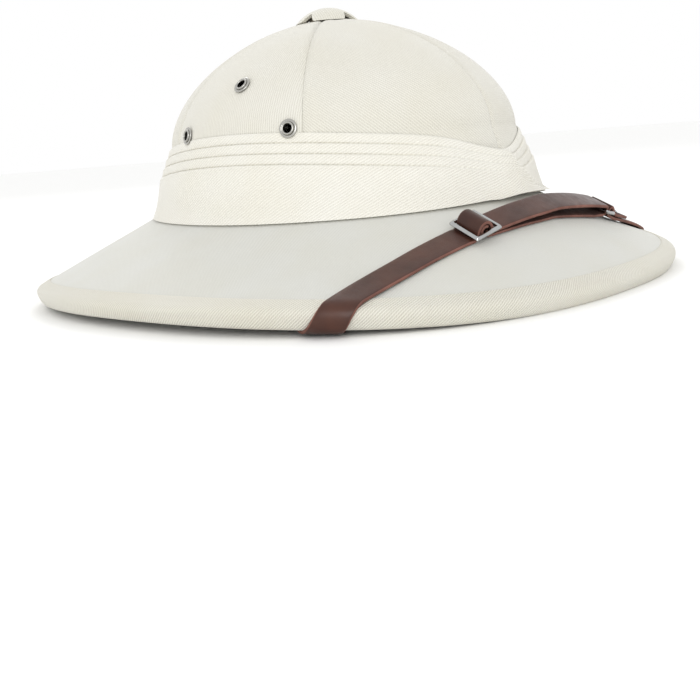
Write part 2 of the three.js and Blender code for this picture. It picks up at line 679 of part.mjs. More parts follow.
function buildStraps() {
  const rightEnd = track[0].distance;
  const leftEnd = track[track.length - 1].distance;
  place('chin_strap_long', ribbon(longProfile(rightEnd)), LEATHER);

  const bar = RING.at - RING.length + RING.edge;
  const rivetPlaces = RIVETS_PAST_RING.map((past) => bar - past);
  const holes = rivetPlaces.map((distance) => {
    const { point, up } = stationAt(distance);
    return rodAlong({ point, axis: up }, RIVET.shank + GAP, 20, 10);
  });
  place('chin_strap_short', cut(ribbon(shortProfile(leftEnd)), holes), LEATHER);

  placeFrame('strap_slider', SLIDER, SLIDER.at, SLIDER.tilt, true);
  placeFrame('strap_ring', RING, RING.at - RING.length / 2 + RING.edge / 2, 0, false);

  const headFoot = STRAP_LIE + LAYER_STEP + STRAP_THICKNESS / 2 + 2 * GAP;
  const profile = [
    [0, STRAP_LIE - STRAP_THICKNESS / 2], [RIVET.shank, STRAP_LIE - STRAP_THICKNESS / 2],
    [RIVET.shank, headFoot], [RIVET.head, headFoot], [RIVET.head * 0.8, headFoot + RIVET.rise * 0.65],
    [RIVET.head * 0.4, headFoot + RIVET.rise * 0.93], [0, headFoot + RIVET.rise],
  ].map(([radius, height]) => new THREE.Vector2(radius, height));
  rivetPlaces.forEach((distance, index) => {
    const rivet = merged(new THREE.LatheGeometry(profile, 12).rotateX(Math.PI / 2));
    placeOnTrack(place(`strap_rivet_${index + 1}`, rivet, CHROME), distance, 0, 0);
  });

  // Each strap end is held by one plain tab under the brim, inside the temple.
  for (const [name, end] of [['right', rightEnd], ['left', leftEnd]]) {
    const tab = new THREE.BoxGeometry(ANCHOR.along, ANCHOR.width, ANCHOR.thick)
      .translate(Math.sign(end) * (ANCHOR.along / 2 + GAP), 0, GAP + ANCHOR.drop + ANCHOR.thick / 2);
    placeOnTrack(place(`strap_anchor_${name}`, merged(tab), CHROME), end, 0, 0);
  }
}

buildStraps();
buildCrown();
buildEyelets();
buildPugaree();
buildBrim();
buildCap();

export default helmet;
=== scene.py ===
import math
import bpy
import numpy as np
from mathutils import Matrix, Vector


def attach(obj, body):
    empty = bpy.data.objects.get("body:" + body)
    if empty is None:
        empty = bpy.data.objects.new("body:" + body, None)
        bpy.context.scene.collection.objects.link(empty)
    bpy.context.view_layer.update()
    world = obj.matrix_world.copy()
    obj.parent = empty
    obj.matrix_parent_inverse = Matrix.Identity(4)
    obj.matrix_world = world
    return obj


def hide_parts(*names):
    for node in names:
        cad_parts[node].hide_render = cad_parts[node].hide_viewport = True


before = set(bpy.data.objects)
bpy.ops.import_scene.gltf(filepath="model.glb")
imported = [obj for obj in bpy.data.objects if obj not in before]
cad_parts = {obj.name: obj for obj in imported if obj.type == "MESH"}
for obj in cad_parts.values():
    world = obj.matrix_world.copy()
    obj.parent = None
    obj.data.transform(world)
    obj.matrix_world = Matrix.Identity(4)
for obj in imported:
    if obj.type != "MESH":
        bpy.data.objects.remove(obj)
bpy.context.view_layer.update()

# ------------------------------------------------------------------ the studio
# White paper under an even white sky, a broad soft light near the camera, a second one high at
# the back that draws the sheen on the leather, and the camera.
MM = 0.001
CAMERA = {"bearing": -48.8, "distance": 548, "height": 76.5, "down": 12.15, "aside": 0.47,
          "roll": -4.43, "lens": 50.25}
FLOOR_RADIUS = 9.0


def linear(hex_colour):
    """An sRGB hex colour as linear red, green, blue and alpha."""
    channels = [int(hex_colour[at:at + 2], 16) / 255 for at in (1, 3, 5)]
    return [c / 12.92 if c <= 0.04045 else ((c + 0.055) / 1.055) ** 2.4 for c in channels] + [1.0]


def add_node(tree, kind, links=(), values=(), **settings):
    """Adds a node. links are (input, source socket), and values set its other inputs by name."""
    node = tree.nodes.new(kind)
    for key, value in settings.items():
        setattr(node, key, value)
    for key, value in dict(values).items():
        node.inputs[key].default_value = value
    for key, source in links:
        tree.links.new(node.inputs[key], source)
    return node


def new_material(name):
    material = bpy.data.materials.new(name)
    material.use_nodes = True
    material.node_tree.nodes.clear()
    return material, material.node_tree


def finish_material(tree, **shader):
    """Closes a material with a Principled shader: sockets are linked, and numbers are set."""
    numbers = {key: value for key, value in shader.items() if not isinstance(value, bpy.types.NodeSocket)}
    links = [(key, value) for key, value in shader.items() if isinstance(value, bpy.types.NodeSocket)]
    named = [(key.replace("_", " "), value) for key, value in links]
    surface = add_node(tree, "ShaderNodeBsdfPrincipled", named,
                       {key.replace("_", " "): value for key, value in numbers.items()})
    add_node(tree, "ShaderNodeOutputMaterial", [("Surface", surface.outputs["BSDF"])])


def new_object(name, vertices, faces, material=None, smooth=40):
    """A mesh object from points in millimetres, smooth apart from edges sharper than smooth degrees."""
    mesh = bpy.data.meshes.new(name)
    mesh.from_pydata([tuple(MM * c for c in point) for point in vertices], [], faces)
    mesh.polygons.foreach_set("use_smooth", [True] * len(mesh.polygons))
    mesh.set_sharp_from_angle(angle=math.radians(smooth))
    piece = bpy.data.objects.new(name, mesh)
    bpy.context.collection.objects.link(piece)
    if material:
        mesh.materials.append(material)
    return piece


def make_floor():
    rounds = 96
    points = [(0.0, 0.0, 0.0)]
    points += [(1000 * FLOOR_RADIUS * math.cos(turn), 1000 * FLOOR_RADIUS * math.sin(turn), 0.0)
               for turn in (2 * math.pi * at / rounds for at in range(rounds))]
    faces = [(0, 1 + at, 1 + (at + 1) % rounds) for at in range(rounds)]
    paper, tree = new_material("white paper")
    finish_material(tree, Base_Color=linear("#FBFBFA"), Roughness=0.9)
    return new_object("paper_floor", points, faces, paper)


def make_camera():
    bearing = math.radians(CAMERA["bearing"])
    aim = bearing + math.radians(CAMERA["aside"])
    down = math.radians(CAMERA["down"])
    roll = math.radians(CAMERA["roll"])
    forward = Vector((-math.sin(aim) * math.cos(down), math.cos(aim) * math.cos(down), -math.sin(down)))
    right = Vector((math.cos(aim), math.sin(aim), 0))
    up = right.cross(forward)
    turned_right = right * math.cos(roll) + up * math.sin(roll)
    turned_up = up * math.cos(roll) - right * math.sin(roll)
    camera = bpy.data.objects.new("camera", bpy.data.cameras.new("camera"))
    bpy.context.collection.objects.link(camera)
    camera.data.lens = CAMERA["lens"]
    camera.data.sensor_width = 36
    camera.data.clip_start = 0.01
    turn = Matrix((turned_right, turned_up, -forward)).transposed().to_4x4()
    place = Vector((math.sin(bearing), -math.cos(bearing), 0)) * CAMERA["distance"]
    place.z = CAMERA["height"]
    camera.matrix_world = Matrix.Translation(place * MM) @ turn
    bpy.context.scene.camera = camera


def make_light(name, place, size, power, colour="#FFFFFF"):
    light = bpy.data.lights.new(name, "AREA")
    light.shape = "DISK"
    light.size = size
    light.energy = power
    light.color = linear(colour)[:3]
    lamp = bpy.data.objects.new(name, light)
    lamp.location = place
    lamp.rotation_euler = (Vector((0, 0, 0.06)) - Vector(place)).to_track_quat("-Z", "Y").to_euler()
    bpy.context.collection.objects.link(lamp)


make_camera()
make_floor()
make_light("soft light by the camera", (-1.35, -0.95, 0.6), 0.9, 7.5)
make_light("soft light high behind", (0.8, 0.9, 1.1), 0.6, 4.0)
world = bpy.data.worlds.new("white studio")
world.use_nodes = True
world.node_tree.nodes["Background"].inputs["Color"].default_value = linear("#FFFFFF")
world.node_tree.nodes["Background"].inputs["Strength"].default_value = 1.0
bpy.context.scene.world = world
bpy.context.scene.view_settings.view_transform = "Standard"

# ------------------------------------------------------------------ the crown
# Six gores of white cotton drill drawn tight over the moulded shell and bonded to it. They are
# cut on different grains, and meet in narrow sunk seams from the foot up to the vent.
RIM = {"side": 157, "front": 168, "back": 168, "shift": 0, "squareness": 2.46}
FOOT = {"side": 93, "front": 113, "back": 120.5, "shift": 1, "squareness": 2}
CROWN = {"side": 85.5, "front": 98, "back": 99.5, "shift": 1, "squareness": 2}
RIM_SADDLE, ROLL_RADIUS, REST_CUT = 2.5, 5.2, 0.3
RIM_HEIGHT = ROLL_RADIUS + RIM_SADDLE - REST_CUT
FOOT_HEIGHT, FOOT_WAVE = 41.2, 1
SPRING_HEIGHT, CROWN_TOP, CROWN_TOP_SHIFT = 78.2, 139.2, 4
DOME_POWER, CROWN_WALL, VENT_RADIUS = 1.78, 3, 10.3
BAND_AT_FOOT = 3.2
GORES = [
    {"name": "front_right", "from": 0, "to": 60, "lay": 47},
    {"name": "side_right", "from": 60, "to": 120, "lay": 4},
    {"name": "back_right", "from": 120, "to": 180, "lay": -44},
    {"name": "front_left", "from": 0, "to": -60, "lay": -44},
    {"name": "side_left", "from": -60, "to": -120, "lay": 3},
    {"name": "back_left", "from": -120, "to": -180, "lay": 46},
]
SEAM = {"gap": 0.05, "sink": 0.55, "spread": 0.8, "ridge": 0.28, "ridge_at": 3.2, "ridge_spread": 1.9}


def signed_power(value, power):
    return math.copysign(abs(value) ** power, value)


def oval_point(oval, turn, inset=0.0, height=0.0):
    """A point on an oval. A turn is 0 at the front and grows towards the wearer's right."""
    power = 2 / oval["squareness"]
    reach = oval["front"] if math.cos(turn) > 0 else oval["back"]
    return Vector((
        -(oval["side"] - inset) * signed_power(math.sin(turn), power),
        oval["shift"] - (reach - inset) * signed_power(math.cos(turn), power),
        height,
    ))


def turn_at(bearing):
    """The turn that meets a compass bearing on the crown."""
    reach = CROWN["front"] if abs(bearing) < 90 else CROWN["back"]
    angle = math.radians(bearing)
    return math.atan2(math.sin(angle) / CROWN["side"], math.cos(angle) / reach)


def slope_at(turn):
    """The brim at one turn: where it leaves the crown, its directions and its length."""
    start = oval_point(FOOT, turn, 0, FOOT_HEIGHT + FOOT_WAVE * math.cos(2 * turn))
    roll_height = RIM_HEIGHT - RIM_SADDLE * math.cos(2 * turn)
    roll = oval_point(RIM, turn, ROLL_RADIUS, roll_height)
    outward = (roll - start) * Vector((1, 1, 0))
    run = outward.length
    outward.normalize()
    span = math.hypot(run, start.z - roll_height)
    fall = math.atan2(start.z - roll_height, run) - math.asin(ROLL_RADIUS / span)
    along = outward * math.cos(fall) + Vector((0, 0, -math.sin(fall)))
    up = outward * math.sin(fall) + Vector((0, 0, math.cos(fall)))
    return {"start": start, "along": along, "up": up, "length": math.sqrt(span ** 2 - ROLL_RADIUS ** 2)}


def on_slope(slope, along, up):
    return slope["start"] + slope["along"] * along + slope["up"] * up


def brim_height(turn, inset):
    slope = slope_at(turn)
    flat = math.hypot(slope["along"].x, slope["along"].y)
    return slope["start"].z - slope["along"].z / flat * inset


def crown_point(turn, height, inset=0.0):
    """A point of the crown's wall: flared below the spring line, a pointed dome above it."""
    if height < SPRING_HEIGHT:
        drop = (SPRING_HEIGHT - height) / (SPRING_HEIGHT - FOOT_HEIGHT)
        oval = {key: CROWN[key] + (FOOT[key] - BAND_AT_FOOT - CROWN[key]) * drop - inset
                for key in ("side", "front", "back")}
        return oval_point({**CROWN, **oval}, turn, 0, height)
    rise = min((height - SPRING_HEIGHT) / (CROWN_TOP - inset - SPRING_HEIGHT), 1)
    shrink = (1 - rise ** DOME_POWER) ** (1 / DOME_POWER)
    oval = {key: (CROWN[key] - inset) * shrink for key in ("side", "front", "back")}
    shift = CROWN["shift"] + (CROWN_TOP_SHIFT - CROWN["shift"]) * (1 - shrink)
    return oval_point({**CROWN, **oval, "shift": shift}, turn, 0, height)


def standing_height(turn, inset, clear):
    """The height at which a wall standing some way inside the crown's face meets the brim."""
    height = FOOT_HEIGHT
    for _ in range(5):
        inward = (oval_point(FOOT, turn) - crown_point(turn, height, inset) * Vector((1, 1, 0))).length
        height = brim_height(turn, inward) + clear
    return height


def wall(name, face, back, material, around=False, lay=0.0, plan=False, smooth=40):
    """A closed wall between two grids of points in millimetres, as rows of columns.
    Its cloth map is in millimetres along the face, turned so that the ribs run at lay degrees."""
    rows, cols = len(face), len(face[0])
    last = cols if around else cols - 1
    grid = np.array([[tuple(p) for p in row] for row in face])
    looped = np.concatenate([grid, grid[:, :1]], axis=1) if around else grid
    if plan:
        across, down = looped[..., 0], looped[..., 1]
    else:
        step_across = np.linalg.norm(np.diff(looped, axis=1), axis=2)
        step_down = np.linalg.norm(np.diff(looped, axis=0), axis=2)
        across = np.concatenate([np.zeros((rows, 1)), np.cumsum(step_across, axis=1)], axis=1)
        if not around:
            across -= across[:, cols // 2][:, None]
        else:
            across = np.repeat(across[rows // 3][None], rows, axis=0)
        down = np.concatenate([np.zeros((1, looped.shape[1])), np.cumsum(step_down, axis=0)], axis=0)
    cos, sin = math.cos(math.radians(lay)), math.sin(math.radians(lay))
    u_map, v_map = across * cos - down * sin, across * sin + down * cos
    faces, corners = [], []

    def quad(*places):
        faces.append([(side * rows + row) * cols + col % cols for side, row, col in places])
        corners.append([(u_map[row, col], v_map[row, col]) for _, row, col in places])

    for col in range(last):
        for row in range(rows - 1):
            quad((0, row, col), (0, row, col + 1), (0, row + 1, col + 1), (0, row + 1, col))
            quad((1, row, col), (1, row + 1, col), (1, row + 1, col + 1), (1, row, col + 1))
        quad((0, 0, col), (1, 0, col), (1, 0, col + 1), (0, 0, col + 1))
        end = rows - 1
        quad((0, end, col), (0, end, col + 1), (1, end, col + 1), (1, end, col))
    if not around:
        for row in range(rows - 1):
            quad((0, row, 0), (0, row + 1, 0), (1, row + 1, 0), (1, row, 0))
            quad((0, row, last), (1, row, last), (1, row + 1, last), (0, row + 1, last))
    points = [p for side in (face, back) for row in side for p in row]
    if signed_volume(points, faces) < 0:
        faces = [list(reversed(f)) for f in faces]
        corners = [list(reversed(c)) for c in corners]
    piece = new_object(name, points, faces, material, smooth)
    cloth_map = piece.data.uv_layers.new(name="cloth")
    flat = [number for face_corners in corners for pair in face_corners for number in pair]
    cloth_map.data.foreach_set("uv", flat)
    return piece


def signed_volume(points, faces):
    total = 0.0
    for face in faces:
        first = Vector(points[face[0]])
        for at in range(1, len(face) - 1):
            total += first.dot(Vector(points[face[at]]).cross(Vector(points[face[at + 1]])))
    return total


def cotton(name, light, shade, pitch, rib_depth, rib_shade, softness=0.35):
    """Woven cotton. The ribs of the weave run along the cloth map, pitch millimetres apart, and
    are broken by the weft; slubs and uneven bleaching vary them. The low threads between the ribs take
    painted shade, up to rib_shade of the way to the shade colour."""
    material, tree = new_material(name)
    cloth = add_node(tree, "ShaderNodeUVMap", uv_map="cloth").outputs["UV"]
    period = 2 * math.pi / 20
    wander = add_node(tree, "ShaderNodeTexNoise", [("Vector", cloth)], {"Scale": 0.12, "Detail": 2.0})
    bend = add_node(tree, "ShaderNodeVectorMath", [(0, wander.outputs["Color"])], operation="SCALE")
    bend.inputs["Scale"].default_value = 0.8 * pitch
    bent = add_node(tree, "ShaderNodeVectorMath", [(0, cloth), (1, bend.outputs[0])],
                    operation="ADD").outputs[0]
    ribs = add_node(tree, "ShaderNodeTexWave", [("Vector", bent)],
                    {"Scale": period / pitch, "Distortion": 0.35, "Detail": 1.5, "Detail Scale": 3.0},
                    wave_type="BANDS", bands_direction="X")
    weft = add_node(tree, "ShaderNodeTexWave", [("Vector", bent)],
                    {"Scale": period / (0.62 * pitch), "Distortion": 0.8, "Detail": 1.0},
                    wave_type="BANDS", bands_direction="DIAGONAL")
    slub = add_node(tree, "ShaderNodeTexNoise", [("Vector", cloth)], {"Scale": 0.9, "Detail": 3.0})
    cast = add_node(tree, "ShaderNodeTexNoise", [("Vector", cloth)], {"Scale": 0.028, "Detail": 2.0})
    weave = add_node(tree, "ShaderNodeMath", [(0, weft.outputs["Fac"]), (2, ribs.outputs["Fac"])],
                     {1: 0.3}, operation="MULTIPLY_ADD").outputs[0]
    threads = add_node(tree, "ShaderNodeMath", [(0, slub.outputs["Fac"]), (2, weave)],
                       {1: 0.45}, operation="MULTIPLY_ADD").outputs[0]
    # Painted shade: the low threads take the shade colour, up to rib_shade of the way, darkening the weave's
    # hollows beside the bump's own shading.
    depth = add_node(tree, "ShaderNodeMapRange", [("Value", threads)],
                     {"From Min": 0.3, "From Max": 1.35, "To Min": rib_shade, "To Max": 0.0}).outputs[0]
    tone = add_node(tree, "ShaderNodeMix", [("Factor", depth)], {6: linear(light), 7: linear(shade)},
                    data_type="RGBA").outputs[2]
    warm = add_node(tree, "ShaderNodeMapRange", [("Value", cast.outputs["Fac"])],
                    {"From Min": 0.35, "From Max": 0.65, "To Min": 0.0, "To Max": 0.22}).outputs[0]
    cream = add_node(tree, "ShaderNodeMix", [("Factor", warm), (6, tone)], {7: linear("#F4F0E2")},
                     data_type="RGBA", blend_type="MULTIPLY").outputs[2]
    bump = add_node(tree, "ShaderNodeBump", [("Height", threads)],
                    {"Strength": rib_depth, "Distance": 0.00022}).outputs[0]
    finish_material(tree, Base_Color=cream, Normal=bump, Roughness=0.88, Specular_IOR_Level=0.25,
                    Sheen_Weight=softness, Sheen_Roughness=0.45)
    return material


# White cotton drill: a steep twill whose ribs catch the light as fine diagonal lines.
drill = cotton("white cotton drill", "#E0DED5", "#BDB9AC", 1.2, 0.7, 0.5)

# Holes for the vent eyelets, three to a side gore.
EYELETS = [
    {"name": "front", "bearing": 64.5, "height": 83.3},
    {"name": "top", "bearing": 86.5, "height": 105.5},
    {"name": "back", "bearing": 111.5, "height": 84},
]
EYELET_HOLE = 2.95


def eyelet_seat(eyelet, side):
    turn, step = side * turn_at(eyelet["bearing"]), 0.01
    height = eyelet["height"]
    around = crown_point(turn + step, height) - crown_point(turn - step, height)
    rise = crown_point(turn, height + 1) - crown_point(turn, height - 1)
    axis = around.cross(rise).normalized()
    point = crown_point(turn, height)
    if axis.dot(Vector((point.x, point.y, 0))) < 0:
        axis.negate()
    return {"point": point, "axis": axis, "name": eyelet["name"], "side": side}


eyelet_seats = [eyelet_seat(eyelet, side) for side in (1, -1) for eyelet in EYELETS]


def punch(piece, seats, radius):
    """Cuts round holes through a piece, one at each seat."""
    for seat in seats:
        turn = seat["axis"].to_track_quat("Z", "Y").to_matrix()
        rounds = 40
        points = [seat["point"] + turn @ Vector((radius * math.cos(a), radius * math.sin(a), end))
                  for end in (-9, 9) for a in (2 * math.pi * at / rounds for at in range(rounds))]
        faces = [(at, (at + 1) % rounds, rounds + (at + 1) % rounds, rounds + at) for at in range(rounds)]
        faces += [tuple(reversed(range(rounds))), tuple(range(rounds, 2 * rounds))]
        punch_tool = new_object("punch", points, faces)
        cut = piece.modifiers.new("hole", "BOOLEAN")
        cut.object = punch_tool
        cut.solver = "EXACT"
        keep_result(piece)
        bpy.data.objects.remove(punch_tool)


def keep_result(piece):
    """Turns a piece and its modifiers into a plain mesh."""
    seen = piece.evaluated_get(bpy.context.evaluated_depsgraph_get())
    mesh = bpy.data.meshes.new_from_object(seen, preserve_all_data_layers=True,
                                           depsgraph=bpy.context.evaluated_depsgraph_get())
    piece.modifiers.clear()
    piece.data = mesh


def crown_levels(turn, inset, clear, lower=16, upper=56):
    foot = standing_height(turn, inset, clear)
    rise = CROWN_TOP - inset - SPRING_HEIGHT
    top_turn = math.acos((VENT_RADIUS / CROWN["side"]) ** (DOME_POWER / 2))
    levels = [foot + (SPRING_HEIGHT - foot) * step / lower for step in range(lower)]
    for step in range(upper + 1):
        levels.append(SPRING_HEIGHT + rise * math.sin(top_turn * step / upper) ** (2 / DOME_POWER))
    return levels


def gore_grid(start, end, inset, cols=44):
    """Columns of a gore. Its edges sink into the seams, and the seam allowance lifts it beside them."""
    columns = []
    for col in range(cols + 1):
        share = col / cols
        share = share + 0.45 * math.sin(2 * math.pi * share) / (-2 * math.pi)
        levels = crown_levels(start + (end - start) * share, inset, 0.1)
        column = []
        for height in levels:
            width = (crown_point(start, height) - crown_point(end, height)).length
            edge = min(share, 1 - share) * width
            margin = SEAM["gap"] / max(width, 1)
            turn = start + (end - start) * (margin + (1 - 2 * margin) * share)
            sink = SEAM["sink"] * math.exp(-(edge / SEAM["spread"]) ** 2)
            ridge = SEAM["ridge"] * math.exp(-((edge - SEAM["ridge_at"]) / SEAM["ridge_spread"]) ** 2)
            column.append(crown_point(turn, height, inset + (sink - ridge if inset == 0 else 0)))
        columns.append(column)
    return [list(row) for row in zip(*columns)]


for gore in GORES:
    start, end = (turn_at(gore[key]) for key in ("from", "to"))
    name = "crown_gore_" + gore["name"]
    piece = wall(name + "_cloth", gore_grid(start, end, 0), gore_grid(start, end, CROWN_WALL), drill,
                 lay=gore["lay"])
    if gore["name"].startswith("side"):
        side = 1 if gore["name"].endswith("right") else -1
        punch(piece, [seat for seat in eyelet_seats if seat["side"] == side], EYELET_HOLE)
    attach(piece, "root")
    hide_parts(name)

# ------------------------------------------------------------------ the vent eyelets
# Nickel-plated brass eyelets: a flat washer, a rolled lip that is clinched over it,
# and a short barrel through the shell.
EYELET = {"Bore": 2.15, "Lip": 1.05, "Washer": 3.75, "Barrel": 3.6}


def node_group(name, inputs):
    """A geometry tree with named inputs and one result."""
    tree = bpy.data.node_groups.new(name, "GeometryNodeTree")
    for label, kind in inputs:
        tree.interface.new_socket(label, in_out="INPUT", socket_type="NodeSocket" + kind)
    tree.interface.new_socket("Result", in_out="OUTPUT", socket_type="NodeSocketGeometry")
    return tree, tree.nodes.new("NodeGroupInput").outputs


def close_tree(tree, geometry, material):
    """Every tree ends in real geometry with its material."""
    real = add_node(tree, "GeometryNodeRealizeInstances", [("Geometry", geometry)])
    dressed = add_node(tree, "GeometryNodeSetMaterial",
                       [("Geometry", real.outputs[0]), ("Material", material)])
    add_node(tree, "NodeGroupOutput", [("Result", dressed.outputs[0])])


def grow(name, seats, tree, values):
    """Runs a geometry tree on an object and keeps the result as a plain mesh."""
    sockets = {item.name: item.identifier for item in tree.interface.items_tree if item.in_out == "INPUT"}
    modifier = seats.modifiers.new(name, "NODES")
    modifier.node_group = tree
    for label, value in values.items():
        modifier[sockets[label]] = value
    seen = seats.evaluated_get(bpy.context.evaluated_depsgraph_get())
    mesh = bpy.data.meshes.new_from_object(seen, depsgraph=bpy.context.evaluated_depsgraph_get())
    mesh.name = name
    mesh.polygons.foreach_set("use_smooth", [True] * len(mesh.polygons))
    piece = bpy.data.objects.new(name, mesh)
    bpy.context.collection.objects.link(piece)
    bpy.data.objects.remove(seats)
    return piece


def seat_points(name, seats):
    """Bare points in metres, each with the direction that its copy stands in."""
    mesh = bpy.data.meshes.new(name)
    mesh.from_pydata([tuple(MM * c for c in seat["point"]) for seat in seats], [], [])
    axis = mesh.attributes.new("stands", "FLOAT_VECTOR", "POINT")
    axis.data.foreach_set("vector", [c for seat in seats for c in seat["axis"]])
    points = bpy.data.objects.new(name, mesh)
    bpy.context.collection.objects.link(points)
    return points


def stand_on_points(tree, points, copy):
    """Puts a copy on every point, standing along the point's own direction."""
    stands = add_node(tree, "GeometryNodeInputNamedAttribute", values={"Name": "stands"},
                      data_type="FLOAT_VECTOR")
    turn = add_node(tree, "FunctionNodeAlignRotationToVector", [("Vector", stands.outputs["Attribute"])],
                    axis="Z")
    return add_node(tree, "GeometryNodeInstanceOnPoints",
                    [("Points", points), ("Instance", copy), ("Rotation", turn.outputs[0])]).outputs[0]


def metres(tree, socket, factor=1.0):
    return add_node(tree, "ShaderNodeMath", [(0, socket)], {1: MM * factor}, operation="MULTIPLY").outputs[0]


def ring(tree, radius, thickness, stretch, height):
    """A round ring of metal, flattened or stretched along its axis and lifted."""
    path = add_node(tree, "GeometryNodeCurvePrimitiveCircle", [("Radius", radius)], {"Resolution": 56})
    section = add_node(tree, "GeometryNodeCurvePrimitiveCircle", [("Radius", thickness)], {"Resolution": 16})
    tube = add_node(tree, "GeometryNodeCurveToMesh",
                    [("Curve", path.outputs[0]), ("Profile Curve", section.outputs[0])])
    placed = add_node(tree, "GeometryNodeTransform", [("Geometry", tube.outputs[0])],
                      {"Scale": (1, 1, stretch), "Translation": (0, 0, height * MM)})
    return placed.outputs[0]


def eyelet_tree():
    tree, given = node_group("vent eyelets",
                             [("Seats", "Geometry"), ("Bore", "Float"), ("Lip", "Float"),
                              ("Washer", "Float"), ("Barrel", "Float"), ("Finish", "Material")])
    lip_size = metres(tree, given["Lip"], 0.5)
    bore = metres(tree, given["Bore"])
    lip_path = add_node(tree, "ShaderNodeMath", [(0, bore), (1, lip_size)], operation="ADD").outputs[0]
    lip = ring(tree, lip_path, lip_size, 1.15, 1.0)
    washer = ring(tree, metres(tree, given["Washer"]), metres(tree, given["Lip"], 0.72), 0.62, 0.42)
    barrel_path = add_node(tree, "ShaderNodeMath", [(0, bore)], {1: 0.16 * MM}, operation="ADD").outputs[0]
    barrel = ring(tree, barrel_path, metres(tree, given["Barrel"], 0.045), 14.0, -1.0)
    whole = add_node(tree, "GeometryNodeJoinGeometry")
    for part in (lip, washer, barrel):
        tree.links.new(whole.inputs[0], part)
    close_tree(tree, stand_on_points(tree, given["Seats"], whole.outputs[0]), given["Finish"])
    return tree


def plated(name, colour, roughness):
    """Polished plating over pressed metal: faint polishing lines and a little unevenness."""
    material, tree = new_material(name)
    place = add_node(tree, "ShaderNodeTexCoord").outputs["Object"]
    cloud = add_node(tree, "ShaderNodeTexNoise", [("Vector", place)], {"Scale": 260.0, "Detail": 4.0})
    fine = add_node(tree, "ShaderNodeTexNoise", [("Vector", place)], {"Scale": 1400.0, "Detail": 2.0})
    rough = add_node(tree, "ShaderNodeMapRange", [("Value", cloud.outputs["Fac"])],
                     {"To Min": 0.6 * roughness, "To Max": 1.6 * roughness}).outputs[0]
    tone = add_node(tree, "ShaderNodeMix", [("Factor", cloud.outputs["Fac"])],
                    {6: linear(colour), 7: linear("#A3A29E")}, data_type="RGBA").outputs[2]
    bump = add_node(tree, "ShaderNodeBump", [("Height", fine.outputs["Fac"])],
                    {"Strength": 0.12, "Distance": 0.00005}).outputs[0]
    finish_material(tree, Base_Color=tone, Roughness=rough, Normal=bump, Metallic=1.0)
    return material


# Nickel plating: slightly warm and grey, with soft reflections.
nickel = plated("nickel plate", "#BDBBB5", 0.2)
raised = [{**seat, "point": seat["point"] + seat["axis"] * 0.35} for seat in eyelet_seats]
eyelets = grow("vent_eyelets", seat_points("eyelet seats", raised), eyelet_tree(),
               {**EYELET, "Finish": nickel})
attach(eyelets, "root")
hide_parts(*["vent_eyelet_%s_%s" % ("right" if seat["side"] > 0 else "left", seat["name"])
                       for seat in eyelet_seats])

# ------------------------------------------------------------------ the vent cap and its collar
# A shallow button covered in the crown's drill stands on four feet over the vent. The vent's collar, coloured
# a dark brownish grey, shows through the four arches between them.
CAP = {"radius": 17, "foot": 138.1, "top": 145.8, "wall": 1.8, "arch": 4.6, "rise": 4.2, "point": 1.35}
COLLAR = {"outer": 9.6, "inner": 8.2, "low": 134.5, "high": 140.8}


def cap_grid(inset, rows=18, cols=192):
    rise = CAP["top"] - CAP["foot"]
    curve = (CAP["radius"] ** 2 + rise ** 2) / (2 * rise)
    centre = CAP["top"] - curve
    sphere = curve - inset
    grid = []
    for row in range(rows + 1):
        line = []
        for col in range(cols):
            turn = 2 * math.pi * col / cols
            nearest = (turn + math.pi / 4) % (math.pi / 2) - math.pi / 4
            aside = abs(CAP["radius"] * math.sin(nearest)) / CAP["arch"]
            low = CAP["foot"] + CAP["rise"] * max(1 - aside ** CAP["point"], 0) * (0.86 if inset else 1)
            foot_angle = math.acos(min((low - centre) / sphere, 1))
            angle = foot_angle * (0.02 + 0.98 * row / rows)
            line.append(Vector((sphere * math.sin(angle) * math.sin(turn),
                                CROWN_TOP_SHIFT - sphere * math.sin(angle) * math.cos(turn),
                                centre + sphere * math.cos(angle))))
        grid.append(line)
    return grid


def closed_top(grid):
    """Brings the innermost ring of a dome together at its middle."""
    centre = sum(grid[0], Vector()) / len(grid[0])
    top = centre + Vector((0, 0, 0.002))
    return [[top.lerp(point, 0.02) for point in grid[0]]] + grid


cap_face, cap_back = closed_top(cap_grid(0)), closed_top(cap_grid(CAP["wall"]))
cap = wall("vent_cap_cloth", cap_face, cap_back, drill, around=True, lay=30, plan=True, smooth=55)
soften = cap.modifiers.new("soft edges", "BEVEL")
soften.width = 0.35 * MM
soften.segments = 2
soften.limit_method = "ANGLE"
soften.angle_limit = math.radians(50)
keep_result(cap)
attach(cap, "root")
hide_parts("vent_cap")

# The collar's cotton: a brownish grey much darker than the crown's drill, coarse and quite matt.
collar_cotton = cotton("dark collar cotton", "#A79C8B", "#6E6455", 0.9, 0.7, 0.6, softness=0.2)


def tube_grid(radius, low, high, rows=6, cols=72):
    return [[Vector((radius * math.sin(2 * math.pi * col / cols),
                     CROWN_TOP_SHIFT - radius * math.cos(2 * math.pi * col / cols),
                     high + (low - high) * row / rows)) for col in range(cols)] for row in range(rows + 1)]


collar = wall("vent_collar_cloth", tube_grid(COLLAR["outer"], COLLAR["low"], COLLAR["high"]),
              tube_grid(COLLAR["inner"], COLLAR["low"], COLLAR["high"]), collar_cotton, around=True, lay=45)
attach(collar, "root")
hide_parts("vent_collar")

# ------------------------------------------------------------------ the pugaree
# Two strips of drill wound round the foot of the crown. Each is laid in three folds that step
# outwards on their way down, over a plain part that reaches the brim. They cross at the front.
BAND = {"wall": 1.0, "clear": 0.5, "foot_lift": 1.6, "foot_spread": 26}
BAND_TOP = {"mean": 78.8, "rise": 4.6, "front_drop": 8, "back_drop": 0.8, "front_spread": 17}
FOLD = {"count": 3, "step": 0.8, "spacing": 4.9, "front_spacing": 3.5}
OVERLAP = {"turn": 24, "lift": 16, "low": 42.7, "rise": 23.3, "spread": 11, "height": 3.55}
# Each strip stops this many radians short of the middle of the back.
BACK_SLIT = 0.001
